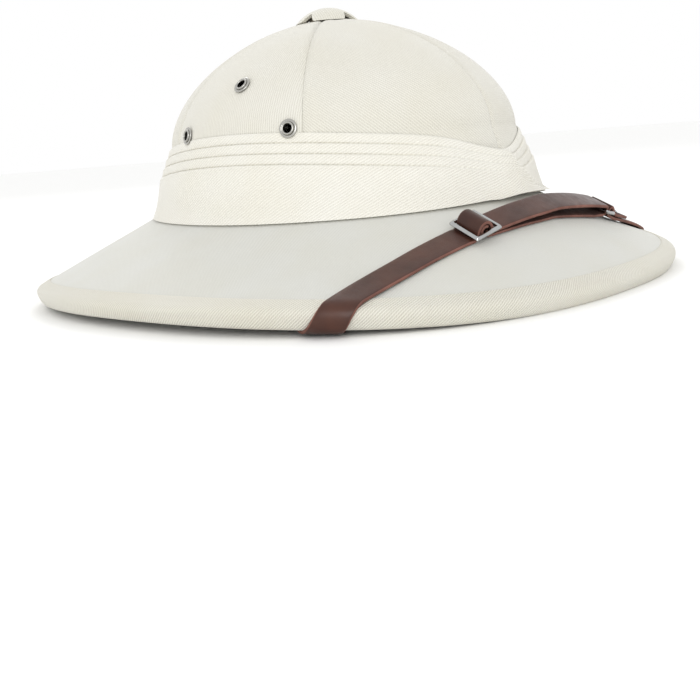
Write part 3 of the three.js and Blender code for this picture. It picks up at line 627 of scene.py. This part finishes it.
# Rows across one fold, from its shadowed root to its rounded edge: how far below the edge, in
# shares of the fold, and how much of the step it has.
FOLD_EDGE = [(-0.17, 0.05), (-0.11, -0.2), (-0.06, -0.85), (-0.015, -0.5),
             (0.025, 0.55), (0.07, 0.95), (0.14, 1.08), (0.25, 1.0)]


# The same drill as on the crown, in lighter colours and with fainter ribs: painted light for the pugaree's
# face, which faces the light more.
lit_pugaree_drill = cotton("pugaree drill painted lighter", "#EAE8E0", "#C5C1B4", 1.2, 0.7, 0.42)


def front_dip(turn):
    return math.exp(-(turn / math.radians(BAND_TOP["front_spread"])) ** 2)


def band_top(turn):
    return (BAND_TOP["mean"] - BAND_TOP["rise"] * math.cos(2 * turn)
            - BAND_TOP["front_drop"] * front_dip(turn) - BAND_TOP["back_drop"] * (1 - math.cos(turn)))


def overlap_top(turn):
    return OVERLAP["low"] + OVERLAP["rise"] * math.exp(turn / math.radians(OVERLAP["spread"]))


def drape(turn, drop):
    """Small soft hollows that hand-laid cloth keeps, in millimetres."""
    slow = math.sin(5.3 * turn + 0.16 * drop + 1.1) + 0.7 * math.sin(9.7 * turn - 0.23 * drop + 0.4)
    quick = 0.35 * math.sin(21 * turn + 0.31 * drop + 2.2) + 0.2 * math.sin(37 * turn - 0.4 * drop)
    return 0.16 * (slow + quick)


def press(turn, height):
    """How far the eyelets press the strip's edge down onto the crown, from 0 to 1."""
    here = crown_point(turn, height)
    near = min((here - seat["point"]).length for seat in eyelet_seats)
    return 1 - min(max((near - 4.4) / 3.4, 0), 1) ** 0.7


def fold_crispness(turn, over):
    """The upper strip is stretched flat where it crosses the front, so its folds fade there."""
    if not over:
        return 1.0
    share = min(max((math.degrees(turn) - 8) / 55, 0), 1)
    return 0.3 + 0.7 * share * share * (3 - 2 * share)


def strip_column(turn, lift, top, over):
    foot_clear = 0.15 + BAND["foot_lift"] * math.exp(-(turn / math.radians(BAND["foot_spread"])) ** 2)
    foot = standing_height(turn, -BAND_AT_FOOT - lift, foot_clear)
    span = top - foot
    flat = FOLD["spacing"] - (FOLD["spacing"] - FOLD["front_spacing"]) * front_dip(turn)
    spacing = min(flat, span / (FOLD["count"] + 2))
    tight = max(spacing / FOLD["spacing"], 0.35)
    rows = [(0.0, 0.1), (0.06 * spacing, 0.55), (0.14 * spacing, 0.9), (0.3 * spacing, BAND["wall"])]
    for fold in range(1, FOLD["count"] + 1):
        out = BAND["wall"] + (fold - 1) * FOLD["step"] * tight
        rows.append(((fold - 0.45) * spacing, out + 0.06))
        crisp = fold_crispness(turn, over)
        rows += [((fold + share) * spacing, out + FOLD["step"] * tight * stand * (crisp if stand < 0 else 1))
                 for share, stand in FOLD_EDGE]
    folded = FOLD["count"] * spacing
    full = BAND["wall"] + FOLD["count"] * FOLD["step"] * tight
    plain = 16
    for step in range(1, plain + 1):
        share = step / plain
        drop = folded + 0.25 * spacing + (span - folded - 0.25 * spacing) * share
        swell = full + (BAND_AT_FOOT - full) * share ** 1.5 + 0.9 * share ** 6
        ease = min(share * 4, 1) * min((1 - share) * 3 + 0.25, 1)
        rows.append((drop, swell + drape(turn, drop) * ease))
    face, back = [], []
    for drop, out in rows:
        pressed = press(turn, top - drop)
        stand = (BAND["clear"] + lift + out) * (1 - pressed) + 0.4 * pressed
        root = (BAND["clear"] + lift) * (1 - pressed) + 0.12 * pressed
        face.append(crown_point(turn, top - drop, -stand))
        back.append(crown_point(turn, top - drop, -min(root, stand - 0.25)))
    return face, back


def strip(name, side, start, end, steps, lift_at, top_at):
    """One strip of folded cloth, cut out round the eyelets of its own side: 1 right, -1 left."""
    turns = [start + (end - start) * step / steps for step in range(steps + 1)]
    columns = [strip_column(turn, lift_at(turn), top_at(turn), end > 0) for turn in turns]
    face, back = ([list(row) for row in zip(*(column[skin] for column in columns))] for skin in (0, 1))
    # The strips take the drill painted lighter than the crown's, as painted light.
    piece = wall(name + "_cloth", face, back, lit_pugaree_drill, lay=58, smooth=75)
    punch(piece, [seat for seat in eyelet_seats if seat["side"] == side and seat["name"] != "top"],
          EYELET_HOLE)
    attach(piece, "root")
    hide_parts(name)


def over_lift(turn):
    share = min(max((math.radians(OVERLAP["lift"]) - turn) / math.radians(OVERLAP["lift"]), 0), 1)
    return OVERLAP["height"] * share * share * (3 - 2 * share)


def over_top(turn):
    return band_top(turn) if turn > 0 else overlap_top(turn)


strip("pugaree_right", 1, -math.radians(OVERLAP["turn"]), math.pi - BACK_SLIT, 300, over_lift, over_top)
strip("pugaree_left", -1, -math.pi + BACK_SLIT, 0.0, 260, lambda turn: 0.0, band_top)

# ------------------------------------------------------------------ the brim
# The shell's brim board with a fine greyish white cotton stretched over both faces; its grey is partly the
# cloth's own tone and partly painted shade for the weaker light on the brim from above.
# It falls in a straight slope from the crown to the rolled edge.
BOARD = {"top": -0.3, "thickness": 6, "lip": 4.5}
RIM_STEPS = 288

# Painted shade: the brim cotton is coloured greyer than the crown's drill, partly its own tone and partly
# standing in for the weaker light falling on the brim from above.
brim_cotton_with_painted_shade = cotton("fine brim cotton with painted shade", "#D2D2CC", "#B6B6AF", 0.6, 0.3, 0.4)


def brim_waver(turn, share):
    """The slight unevenness of hand-covered board, in millimetres."""
    hold = math.sin(math.pi * min(max(share, 0), 1))
    return 0.22 * hold * (math.sin(3 * turn + 0.7) + 0.6 * math.sin(7 * turn + 5 * share)
                          + 0.3 * math.sin(13 * turn))


def ring_grid(outline, steps=RIM_STEPS):
    turns = [2 * math.pi * step / steps for step in range(steps)]
    columns = [outline(turn, slope_at(turn)) for turn in turns]
    return [list(row) for row in zip(*columns)]


def board_line(turn, slope, up, flat):
    inner = -(BAND_AT_FOOT + CROWN_WALL)
    outer = slope["length"] - BOARD["lip"] + 1.2
    rows = 26
    line = [on_slope(slope, inner + (outer - inner) * row / rows, up + flat * brim_waver(turn, row / rows))
            for row in range(rows + 1)]
    return line


brim = wall("brim_cloth", ring_grid(lambda turn, slope: board_line(turn, slope, BOARD["top"], 1)),
            ring_grid(lambda turn, slope: board_line(turn, slope, BOARD["top"] - BOARD["thickness"], 0.6)),
            brim_cotton_with_painted_shade, around=True, lay=38, plan=True)
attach(brim, "root")
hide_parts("brim")

# ------------------------------------------------------------------ the binding
# A bias-cut strip of drill turned over the brim's corded edge and sewn down on both faces. Its
# ribs lie across the edge at 45 degrees, and it has a soft corner over a nearly upright side.
BINDING = {"wall": 1.2, "squareness": 2.9, "swell": 0.22}


def roll_point(slope, radius, degrees, square):
    angle = math.radians(degrees)
    power = 2 / square
    along = slope["length"] + radius * signed_power(math.cos(angle), power)
    return on_slope(slope, along, -ROLL_RADIUS + radius * signed_power(math.sin(angle), power))


def binding_face(turn, slope):
    lip = slope["length"] - BOARD["lip"]
    above = [(0.0, -0.28), (0.08, -0.02), (0.3, 0.14), (0.8, BINDING["swell"]), (1.8, BINDING["swell"]),
             (3.2, 0.16), (BOARD["lip"] - 0.4, 0.05)]
    line = [on_slope(slope, lip + along, up) for along, up in above]
    line += [roll_point(slope, ROLL_RADIUS, 88 - 176 * step / 36, BINDING["squareness"])
             for step in range(37)]
    line += [on_slope(slope, lip + along, -2 * ROLL_RADIUS - up) for along, up in reversed(above)]
    for point in line:
        point.z = max(point.z, 0.0)
    return line


def binding_back(turn, slope):
    lip = slope["length"] - BOARD["lip"]
    depth = BINDING["wall"]
    marks = (0.0, 0.1, 0.4, 0.9, 1.8, 3.2, BOARD["lip"] - 0.4)
    line = [on_slope(slope, lip + along, -depth) for along in marks]
    line += [roll_point(slope, ROLL_RADIUS - depth, 88 - 176 * step / 36, BINDING["squareness"])
             for step in range(37)]
    line += [on_slope(slope, lip + along, -2 * ROLL_RADIUS + depth) for along in reversed(marks)]
    return line


# Bias-cut drill: the same twill, seen larger because its ribs stand straight across the edge.
bias_drill = cotton("bias-cut cotton drill", "#E0DED3", "#B1AC9E", 1.05, 0.9, 0.62)
binding = wall("brim_binding_cloth", ring_grid(binding_face), ring_grid(binding_back), bias_drill,
               around=True, lay=45)
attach(binding, "root")
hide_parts("brim_binding")

# ------------------------------------------------------------------ the chin strap
# Two lengths of 13 mm dark brown bridle leather with raw reddish edges. The long one comes over
# the edge from the right, through the slider to the ring and back beneath itself to the slider's
# bar; the short one is folded round the ring, riveted, and runs off over the left edge.
STRAP = {"width": 13.0, "thickness": 1.6, "lie": 1.3, "layer": 1.9, "loop": 2.3}
SLIDER = {"at": 52.5, "length": 16, "width": 17.6, "edge": 1.8, "side": 1.7, "height": 4.6, "tilt": 8}
RING = {"at": -47, "length": 8.8, "width": 17.6, "edge": 1.6, "side": 1.7, "height": 4.6, "tilt": 0}
FLAP_LENGTH = 24
RIVETS_PAST_RING = (10, 18)
ROLL_LENGTH = math.pi * ROLL_RADIUS
# Turn in degrees, and reach: 0 at the crown's foot, 1 where the edge roll starts, 2 under it.
STRAP_ROUTE = [
    (84, 2.93), (71, 2.5), (58.6, 2), (56.2, 1.5), (53.8, 1), (49.8, 0.855), (44, 0.685), (36.5, 0.505),
    (28.3, 0.367), (21.5, 0.295), (11.9, 0.237), (4.5, 0.217), (-4.4, 0.23), (-13.8, 0.3), (-22.1, 0.39),
    (-30.4, 0.52), (-38, 0.656), (-46, 0.82), (-53.3, 1), (-55.7, 1.5), (-58.1, 2), (-70, 2.5), (-84, 2.93),
]


def skin_at(turn, past):
    """The brim's skin some way past the start of the edge roll: on top, round it, or beneath."""
    slope = slope_at(turn)
    if past <= 0:
        return on_slope(slope, slope["length"] + past, 0), slope["up"]
    if past <= ROLL_LENGTH:
        centre = on_slope(slope, slope["length"], -ROLL_RADIUS)
        point = roll_point(slope, ROLL_RADIUS, 90 - 180 * past / ROLL_LENGTH, 2)
        return point, (point - centre).normalized()
    inward = past - ROLL_LENGTH
    flat = BOARD["lip"] + 2
    share = min(max((inward - flat) / (slope["length"] - flat), 0), 1)
    climb = (2 * ROLL_RADIUS + BOARD["top"] - BOARD["thickness"]) * share
    return on_slope(slope, slope["length"] - inward, climb - 2 * ROLL_RADIUS), -slope["up"]


def past_for(turn, reach):
    length = slope_at(turn)["length"]
    return min(reach - 1, 0) * length + min(max(reach - 1, 0), 1) * ROLL_LENGTH + max(reach - 2, 0) * length


def smooth_line(points, count):
    """A centripetal Catmull-Rom line through a few points."""
    ends = [2 * points[0] - points[1]] + points + [2 * points[-1] - points[-2]]
    line = []
    for step in range(count + 1):
        spot = min(step / count * (len(points) - 1), len(points) - 1 - 1e-9)
        first, weight = int(spot), spot - int(spot)
        before, one, two, after = ends[first:first + 4]
        gaps = [max((b - a).length ** 0.5, 1e-4) for a, b in ((before, one), (one, two), (two, after))]
        start = (one - before) / gaps[0] - (two - before) / (gaps[0] + gaps[1]) + (two - one) / gaps[1]
        end = (two - one) / gaps[1] - (after - one) / (gaps[1] + gaps[2]) + (after - two) / gaps[2]
        start, end = start * gaps[1], end * gaps[1]
        cube = 2 * one - 2 * two + start + end
        square = -3 * one + 3 * two - 2 * start - end
        line.append(((cube * weight + square) * weight + start) * weight + one)
    return line


def make_track(count=800):
    marks = [Vector((turn, past_for(math.radians(turn), reach))) for turn, reach in STRAP_ROUTE]
    route = smooth_line(marks, count)
    stations = []
    for turn, past in route:
        point, up = skin_at(math.radians(turn), past)
        stations.append({"turn": math.radians(turn), "past": past, "point": point, "up": up})
    turn_nudge, past_nudge = 0.001, 0.1
    for index, station in enumerate(stations):
        before = stations[max(index - 1, 0)]["point"]
        after = stations[min(index + 1, count)]["point"]
        point = station["point"]
        by_turn = (skin_at(station["turn"] + turn_nudge, station["past"])[0] - point) / turn_nudge
        by_past = (skin_at(station["turn"], station["past"] + past_nudge)[0] - point) / past_nudge
        normal = by_turn.cross(by_past).normalized()
        station["up"] = -normal if normal.dot(station["up"]) < 0 else normal
        along = (before - after).normalized()
        station["across"] = station["up"].cross(along).normalized()
        station["along"] = station["across"].cross(station["up"])
        tt, tp, pp = by_turn.dot(by_turn), by_turn.dot(by_past), by_past.dot(by_past)
        ta, pa = by_turn.dot(station["across"]), by_past.dot(station["across"])
        station["turn_step"] = (ta * pp - pa * tp) / (tt * pp - tp * tp)
        station["past_step"] = (pa * tt - ta * tp) / (tt * pp - tp * tp)
        station["distance"] = stations[index - 1]["distance"] - (before - point).length if index else 0.0
    front = next(station for station in stations if station["turn"] <= 0)["distance"]
    for station in stations:
        station["distance"] -= front
    return stations


track = make_track()
track_distances = np.array([-station["distance"] for station in track])


def station_at(distance):
    after = int(min(max(np.searchsorted(track_distances, -distance), 1), len(track) - 1))
    one, two = track[after - 1], track[after]
    blend = min(max((one["distance"] - distance) / (one["distance"] - two["distance"]), 0), 1)
    mixed = {key: one[key] + (two[key] - one[key]) * blend
             for key in ("turn", "past", "turn_step", "past_step", "point", "up", "across")}
    mixed["up"].normalize()
    mixed["across"].normalize()
    mixed["along"] = mixed["across"].cross(mixed["up"])
    return mixed


# Half of the strap's section as (across, up), from the middle of its grain side round to its flesh
# side: a slightly crowned face and rounded raw edges.
HALF_SECTION = [(0.0, 0.8), (2.2, 0.8), (4.2, 0.79), (5.5, 0.76), (6.05, 0.68), (6.35, 0.5), (6.5, 0.2),
                (6.5, -0.2), (6.42, -0.55), (6.2, -0.76), (5.8, -0.8), (3.4, -0.8), (0.0, -0.8)]
SECTION = [(-across, up) for across, up in HALF_SECTION[-2:0:-1]]
SECTION = HALF_SECTION + SECTION


def run(start, end, height_start, height_end, step=4.0):
    count = max(round(abs(end - start) / step), 1)
    return [(start + (end - start) * at / count, height_start + (height_end - height_start) * at / count)
            for at in range(count)]


def arc(centre, height, radius, start, end, count):
    angles = [math.radians(start + (end - start) * at / count) for at in range(count + 1)]
    return [(centre + radius * math.cos(angle), height + radius * math.sin(angle)) for angle in angles]


def edge_run(start, end):
    return run(start, end, STRAP["lie"], STRAP["lie"]) + [(end, STRAP["lie"])]


def long_profile(right_end):
    at, loop, lie = SLIDER["at"], STRAP["loop"], STRAP["lie"]
    second = lie + STRAP["layer"]
    bulge = 1.1
    return (edge_run(at + 9, right_end)[::-1]
            + [(at + 5.9, lie), (at + 4.9, lie + 1), (at + 4.3, lie + 2.5)]
            + arc(at, SLIDER["height"], loop + STRAP["layer"], 10, 150, 14)
            + [(at - 5.2, second + 0.6), (at - 6.6, second + 0.1), (at - 9, second - 0.05)]
            + [(at - share * (at - 9 - RING["at"]) - 9, second + share * (RING["height"] + loop - second)
                + bulge * math.sin(math.pi * share)) for share in (0.12, 0.25, 0.4, 0.55, 0.7, 0.85, 0.94)]
            + arc(RING["at"], RING["height"], loop, 90, 270, 12)
            + [(RING["at"] + 5, lie + 0.5), (RING["at"] + 10, lie)]
            + run(RING["at"] + 15, at - 5, lie, lie)
            + [(at - 4, lie + 0.1)]
            + arc(at, SLIDER["height"], loop, -90, 120, 14))


def short_profile(left_end):
    bar = RING["at"] - RING["length"] + RING["edge"]
    second = STRAP["lie"] + STRAP["layer"]
    return (run(bar - FLAP_LENGTH, bar - 9, second, second)
            + [(bar - 9, second), (bar - 6, second + 0.7), (bar - 3, second + 2.4)]
            + arc(bar, RING["height"], STRAP["loop"], 90, -90, 12)
            + [(bar - 4, STRAP["lie"] + 0.45)]
            + edge_run(bar - 9, left_end))


def ribbon(name, profile, spacing, grain_side, materials):
    """Leather along a profile of distances and heights. grain_side is 1 where the profile starts
    with its grain up, and -1 where it starts with its flesh side up."""
    waypoints = [Vector((distance, height)) for distance, height in profile]
    total = sum((b - a).length for a, b in zip(waypoints, waypoints[1:]))
    dense = smooth_line(waypoints, int(total / spacing * 2.5))
    travelled, kept = 0.0, [dense[0]]
    for one, two in zip(dense, dense[1:]):
        travelled += (two - one).length
        if travelled >= spacing:
            kept.append(two)
            travelled = 0.0
    if (kept[-1] - dense[-1]).length > 0.2 * spacing:
        kept.append(dense[-1])
    rings, lengths = [], [0.0]
    for index, here in enumerate(kept):
        before, after = kept[max(index - 1, 0)], kept[min(index + 1, len(kept) - 1)]
        tilt = math.atan2(after.y - before.y, after.x - before.x)
        station = station_at(here.x)
        if index:
            lengths.append(lengths[-1] + (here - before).length)
        uneven = 0.05 * math.sin(1.9 * lengths[-1]) + 0.04 * math.sin(0.83 * lengths[-1] + 1)
        points = []
        for across, up in SECTION:
            wide = across * (1 + 0.008 * uneven * (1 if across > 0 else -1))
            skin, skin_up = skin_at(station["turn"] + wide * station["turn_step"],
                                    station["past"] + wide * station["past_step"])
            rise = grain_side * up
            points.append(skin + skin_up * (here.y + rise * math.cos(tilt))
                          - station["along"] * rise * math.sin(tilt))
        rings.append(points)
    size = len(SECTION)
    points = [point for points in rings for point in points]
    faces, corners, kinds = [], [], []
    around = [0.0]
    for one, two in zip(SECTION, SECTION[1:] + SECTION[:1]):
        around.append(around[-1] + math.dist(one, two))
    for ring_at in range(len(rings) - 1):
        for at in range(size):
            after = (at + 1) % size
            faces.append([ring_at * size + at, ring_at * size + after,
                          (ring_at + 1) * size + after, (ring_at + 1) * size + at])
            corners.append([(around[at], lengths[ring_at]), (around[at + 1], lengths[ring_at]),
                            (around[at + 1], lengths[ring_at + 1]), (around[at], lengths[ring_at + 1])])
            middle = (SECTION[at][1] + SECTION[after][1]) / 2
            kinds.append(0 if middle > 0.6 else 1 if middle > -0.7 else 2)
    for ring_at in (0, len(rings) - 1):
        faces.append([ring_at * size + at for at in range(size)][::-1 if ring_at == 0 else 1])
        corners.append([(0.0, 0.0)] * size)
        kinds.append(1)
    if signed_volume(points, faces) < 0:
        faces = [face[::-1] for face in faces]
        corners = [pairs[::-1] for pairs in corners]
    piece = new_object(name, points, faces, None, 60)
    for material in materials:
        piece.data.materials.append(material)
    piece.data.polygons.foreach_set("material_index", kinds)
    piece.data.uv_layers.new(name="leather").data.foreach_set(
        "uv", [number for pairs in corners for pair in pairs for number in pair])
    return piece, rings


def hide(name, dark, light, roughness, grain, coat):
    """Leather: pores and fine creases in its surface, and dye that lies unevenly."""
    material, tree = new_material(name)
    place = add_node(tree, "ShaderNodeTexCoord").outputs["Object"]
    skin = add_node(tree, "ShaderNodeUVMap", uv_map="leather").outputs["UV"]
    cloud = add_node(tree, "ShaderNodeTexNoise", [("Vector", place)], {"Scale": 55.0, "Detail": 5.0})
    pores = add_node(tree, "ShaderNodeTexVoronoi", [("Vector", skin)], {"Scale": 1.6}, feature="F1")
    creases = add_node(tree, "ShaderNodeTexNoise", [("Vector", skin)],
                       {"Scale": 2.4, "Detail": 6.0, "Roughness": 0.7})
    rubbed = add_node(tree, "ShaderNodeTexNoise", [("Vector", place)], {"Scale": 240.0, "Detail": 3.0})
    shade = add_node(tree, "ShaderNodeMapRange", [("Value", cloud.outputs["Fac"])],
                     {"From Min": 0.3, "From Max": 0.7}).outputs[0]
    tone = add_node(tree, "ShaderNodeMix", [("Factor", shade)], {6: linear(dark), 7: linear(light)},
                    data_type="RGBA").outputs[2]
    worn = add_node(tree, "ShaderNodeMapRange", [("Value", rubbed.outputs["Fac"])],
                    {"From Min": 0.35, "From Max": 0.7, "To Min": roughness * 0.85,
                     "To Max": roughness * 1.25}).outputs[0]
    height = add_node(tree, "ShaderNodeMath", [(0, pores.outputs["Distance"]), (2, creases.outputs["Fac"])],
                      {1: 0.5}, operation="MULTIPLY_ADD").outputs[0]
    bump = add_node(tree, "ShaderNodeBump", [("Height", height)],
                    {"Strength": grain, "Distance": 0.00015}).outputs[0]
    finish_material(tree, Base_Color=tone, Roughness=worn, Normal=bump, Specular_IOR_Level=0.28,
                    Coat_Weight=coat, Coat_Roughness=0.3)
    return material


# Bridle leather: dyed dark brown, waxed to a broad soft sheen.
bridle = hide("dark brown bridle leather", "#39211A", "#513024", 0.34, 0.2, 0.08)
# The raw cut edge: the reddish undyed middle of the hide, dry and a little furry.
cut_edge = hide("raw cut leather edge", "#5F4038", "#8C6257", 0.85, 0.9, 0.0)
# The flesh side: rough, dull and darker than the cut edge.
flesh_side = hide("flesh side of leather", "#2E1B16", "#4B2E26", 0.9, 1.0, 0.0)
leathers = (bridle, cut_edge, flesh_side)

right_end, left_end = track[0]["distance"], track[-1]["distance"]
long_strap, long_rings = ribbon("chin_strap_long_leather", long_profile(right_end), 0.9, -1, leathers)
short_strap, _ = ribbon("chin_strap_short_leather", short_profile(left_end), 0.9, -1, leathers)
for piece, node in ((long_strap, "chin_strap_long"), (short_strap, "chin_strap_short")):
    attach(piece, "root")
    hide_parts(node)

# ------------------------------------------------------------------ the slider and the ring
# Die-cast and chromed frames with a bevelled face. The slider has a bar across its middle for
# the leather to roll over; the ring is open.
chrome = plated("bright chrome plate", "#BEC1C4", 0.1)


def rounded_rectangle(half_x, half_y, radius, steps=5):
    points = []
    for corner, (sign_x, sign_y) in enumerate(((1, 1), (-1, 1), (-1, -1), (1, -1))):
        for step in range(steps + 1):
            angle = math.pi / 2 * (corner + step / steps)
            points.append((sign_x * (half_x - radius) + radius * math.cos(angle),
                           sign_y * (half_y - radius) + radius * math.sin(angle)))
    return points


def on_track(distance, height, tilt, points):
    """Places points given as (along, across, up) on the strap's track."""
    station = station_at(distance)
    basis = Matrix((station["along"], station["across"], station["up"])).transposed()
    turn = Matrix.Rotation(math.radians(tilt), 3, "Y")
    middle = station["point"] + station["up"] * height
    return [middle + basis @ (turn @ Vector(point)) for point in points]


def buckle(name, node, sizes, distance, middle_bar):
    half_x, half_y = sizes["length"] / 2, sizes["width"] / 2
    inner_x, inner_y = half_x - sizes["edge"], half_y - sizes["side"]
    # Loops round the frame as (half length, half width, corner radius, height).
    loops = [
        (half_x - 0.1, half_y - 0.1, 0.9, -0.55), (half_x, half_y, 1.0, -0.3), (half_x, half_y, 1.0, 0.0),
        (half_x - 0.55, half_y - 0.5, 0.7, 0.72), (half_x - 0.75, half_y - 0.7, 0.6, 0.8),
        (inner_x + 0.35, inner_y + 0.3, 0.5, 0.8), (inner_x + 0.12, inner_y + 0.1, 0.4, 0.66),
        (inner_x, inner_y, 0.35, 0.35), (inner_x, inner_y, 0.35, -0.6),
        (inner_x + 0.2, inner_y + 0.2, 0.4, -0.8), (half_x - 0.35, half_y - 0.35, 0.8, -0.8),
    ]
    local, faces = [], []
    for loop_x, loop_y, radius, height in loops:
        local += [(x, y, height) for x, y in rounded_rectangle(loop_x, loop_y, radius)]
    size = len(local) // len(loops)
    for loop in range(len(loops)):
        for at in range(size):
            after, beyond = (at + 1) % size, (loop + 1) % len(loops)
            faces.append([loop * size + at, loop * size + after, beyond * size + after, beyond * size + at])
    if middle_bar:
        start, sides = len(local), 16
        for end in (-1, 1):
            local += [(0.8 * math.cos(2 * math.pi * at / sides), end * (inner_y + 0.6),
                       0.8 * math.sin(2 * math.pi * at / sides)) for at in range(sides)]
        faces += [[start + at, start + (at + 1) % sides, start + sides + (at + 1) % sides, start + sides + at]
                  for at in range(sides)]
        faces += [[start + at for at in range(sides)][::-1], [start + sides + at for at in range(sides)]]
    points = on_track(distance, sizes["height"], sizes["tilt"], local)
    frame_faces = faces[:size * len(loops)]
    if signed_volume(points, frame_faces) < 0:
        frame_faces = [face[::-1] for face in frame_faces]
    bar_faces = faces[size * len(loops):]
    if bar_faces and signed_volume(points, bar_faces) < 0:
        bar_faces = [face[::-1] for face in bar_faces]
    piece = new_object(name, points, frame_faces + bar_faces, chrome, 28)
    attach(piece, "root")
    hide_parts(node)


buckle("strap_slider_metal", "strap_slider", SLIDER, SLIDER["at"], True)
buckle("strap_ring_metal", "strap_ring", RING, RING["at"] - RING["length"] / 2 + RING["edge"] / 2, False)

# ------------------------------------------------------------------ the rivets
# Two tubular rivets with polished domed heads hold the short strap's fold shut.
RIVET = {"Head": 2.2, "Rise": 1.0, "Rim": 0.28}


def rivet_tree():
    tree, given = node_group("domed rivets", [("Seats", "Geometry"), ("Head", "Float"), ("Rise", "Float"),
                                              ("Rim", "Float"), ("Finish", "Material")])
    ball = add_node(tree, "GeometryNodeMeshUVSphere", values={"Segments": 32, "Rings": 20, "Radius": 1.0})
    head, rise = metres(tree, given["Head"]), metres(tree, given["Rise"])
    size = add_node(tree, "ShaderNodeCombineXYZ", [("X", head), ("Y", head), ("Z", rise)])
    dome = add_node(tree, "GeometryNodeTransform",
                    [("Geometry", ball.outputs[0]), ("Scale", size.outputs[0])])
    rim = ring(tree, metres(tree, given["Head"], 0.92), metres(tree, given["Rim"]), 0.8, 0.1)
    whole = add_node(tree, "GeometryNodeJoinGeometry")
    for part in (dome.outputs[0], rim):
        tree.links.new(whole.inputs[0], part)
    close_tree(tree, stand_on_points(tree, given["Seats"], whole.outputs[0]), given["Finish"])
    return tree


rivet_bar = RING["at"] - RING["length"] + RING["edge"]
head_foot = STRAP["lie"] + STRAP["layer"] + STRAP["thickness"] / 2 + 0.1
rivet_seats = [{"point": on_track(rivet_bar - past, head_foot, 0, [(0, 0, 0)])[0],
                "axis": station_at(rivet_bar - past)["up"]} for past in RIVETS_PAST_RING]
rivets = grow("strap_rivets", seat_points("rivet seats", rivet_seats), rivet_tree(),
              {**RIVET, "Finish": chrome})
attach(rivets, "root")
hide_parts("strap_rivet_1", "strap_rivet_2")

# ------------------------------------------------------------------ the loose fibres
# Raw edges of the strap shed short dark fibres; here they stand along one edge of the long strap, over its
# whole length.
FIBRE = {"Pitch": 0.8, "Length": 1.1, "Width": 0.045, "Seed": 7}


def fibre_tree():
    tree, given = node_group("leather fibres",
                             [("Edge", "Geometry"), ("Pitch", "Float"), ("Length", "Float"),
                              ("Width", "Float"), ("Seed", "Int"), ("Finish", "Material")])
    spots = add_node(tree, "GeometryNodeResampleCurve",
                     [("Curve", given["Edge"]), ("Length", metres(tree, given["Pitch"]))], mode="LENGTH")
    root, tip = metres(tree, given["Width"]), metres(tree, given["Width"], 0.4)
    hair = add_node(tree, "GeometryNodeMeshCone",
                    [("Radius Bottom", root), ("Radius Top", tip), ("Depth", metres(tree, given["Length"]))],
                    {"Vertices": 4})
    lean = add_node(tree, "FunctionNodeRandomValue", [("Seed", given["Seed"])],
                    {0: (-1.3, -1.3, -3.1), 1: (1.3, 1.3, 3.1)}, data_type="FLOAT_VECTOR")
    size = add_node(tree, "FunctionNodeRandomValue", [("Seed", given["Seed"])], {2: 0.35, 3: 1.25},
                    data_type="FLOAT")
    hairs = add_node(tree, "GeometryNodeInstanceOnPoints",
                     [("Points", spots.outputs[0]), ("Instance", hair.outputs["Mesh"]),
                      ("Rotation", lean.outputs[0]), ("Scale", size.outputs[1])])
    close_tree(tree, hairs.outputs[0], given["Finish"])
    return tree


def edge_line(rings, corner, start, end):
    """An open line along one edge of a strap."""
    points = [rings[at][corner] for at in range(start, end)]
    curve = bpy.data.curves.new("strap edge", "CURVE")
    curve.dimensions = "3D"
    spline = curve.splines.new("POLY")
    spline.points.add(len(points) - 1)
    for spot, point in zip(spline.points, points):
        spot.co = (*[MM * c for c in point], 1)
    line = bpy.data.objects.new("strap edge", curve)
    bpy.context.collection.objects.link(line)
    return line


fibre_group = fibre_tree()
lower_corner = 8
fibres = grow("strap_fibres", edge_line(long_rings, lower_corner, 0, len(long_rings)), fibre_group,
              {**FIBRE, "Finish": flesh_side})
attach(fibres, "root")

# ------------------------------------------------------------------ the hidden anchors
# A plain dull steel tab under each temple holds the end of the strap.
steel = plated("dull plain steel", "#8E8E8C", 0.42)
for side in ("right", "left"):
    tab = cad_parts["strap_anchor_" + side]
    tab.data.materials.clear()
    tab.data.materials.append(steel)
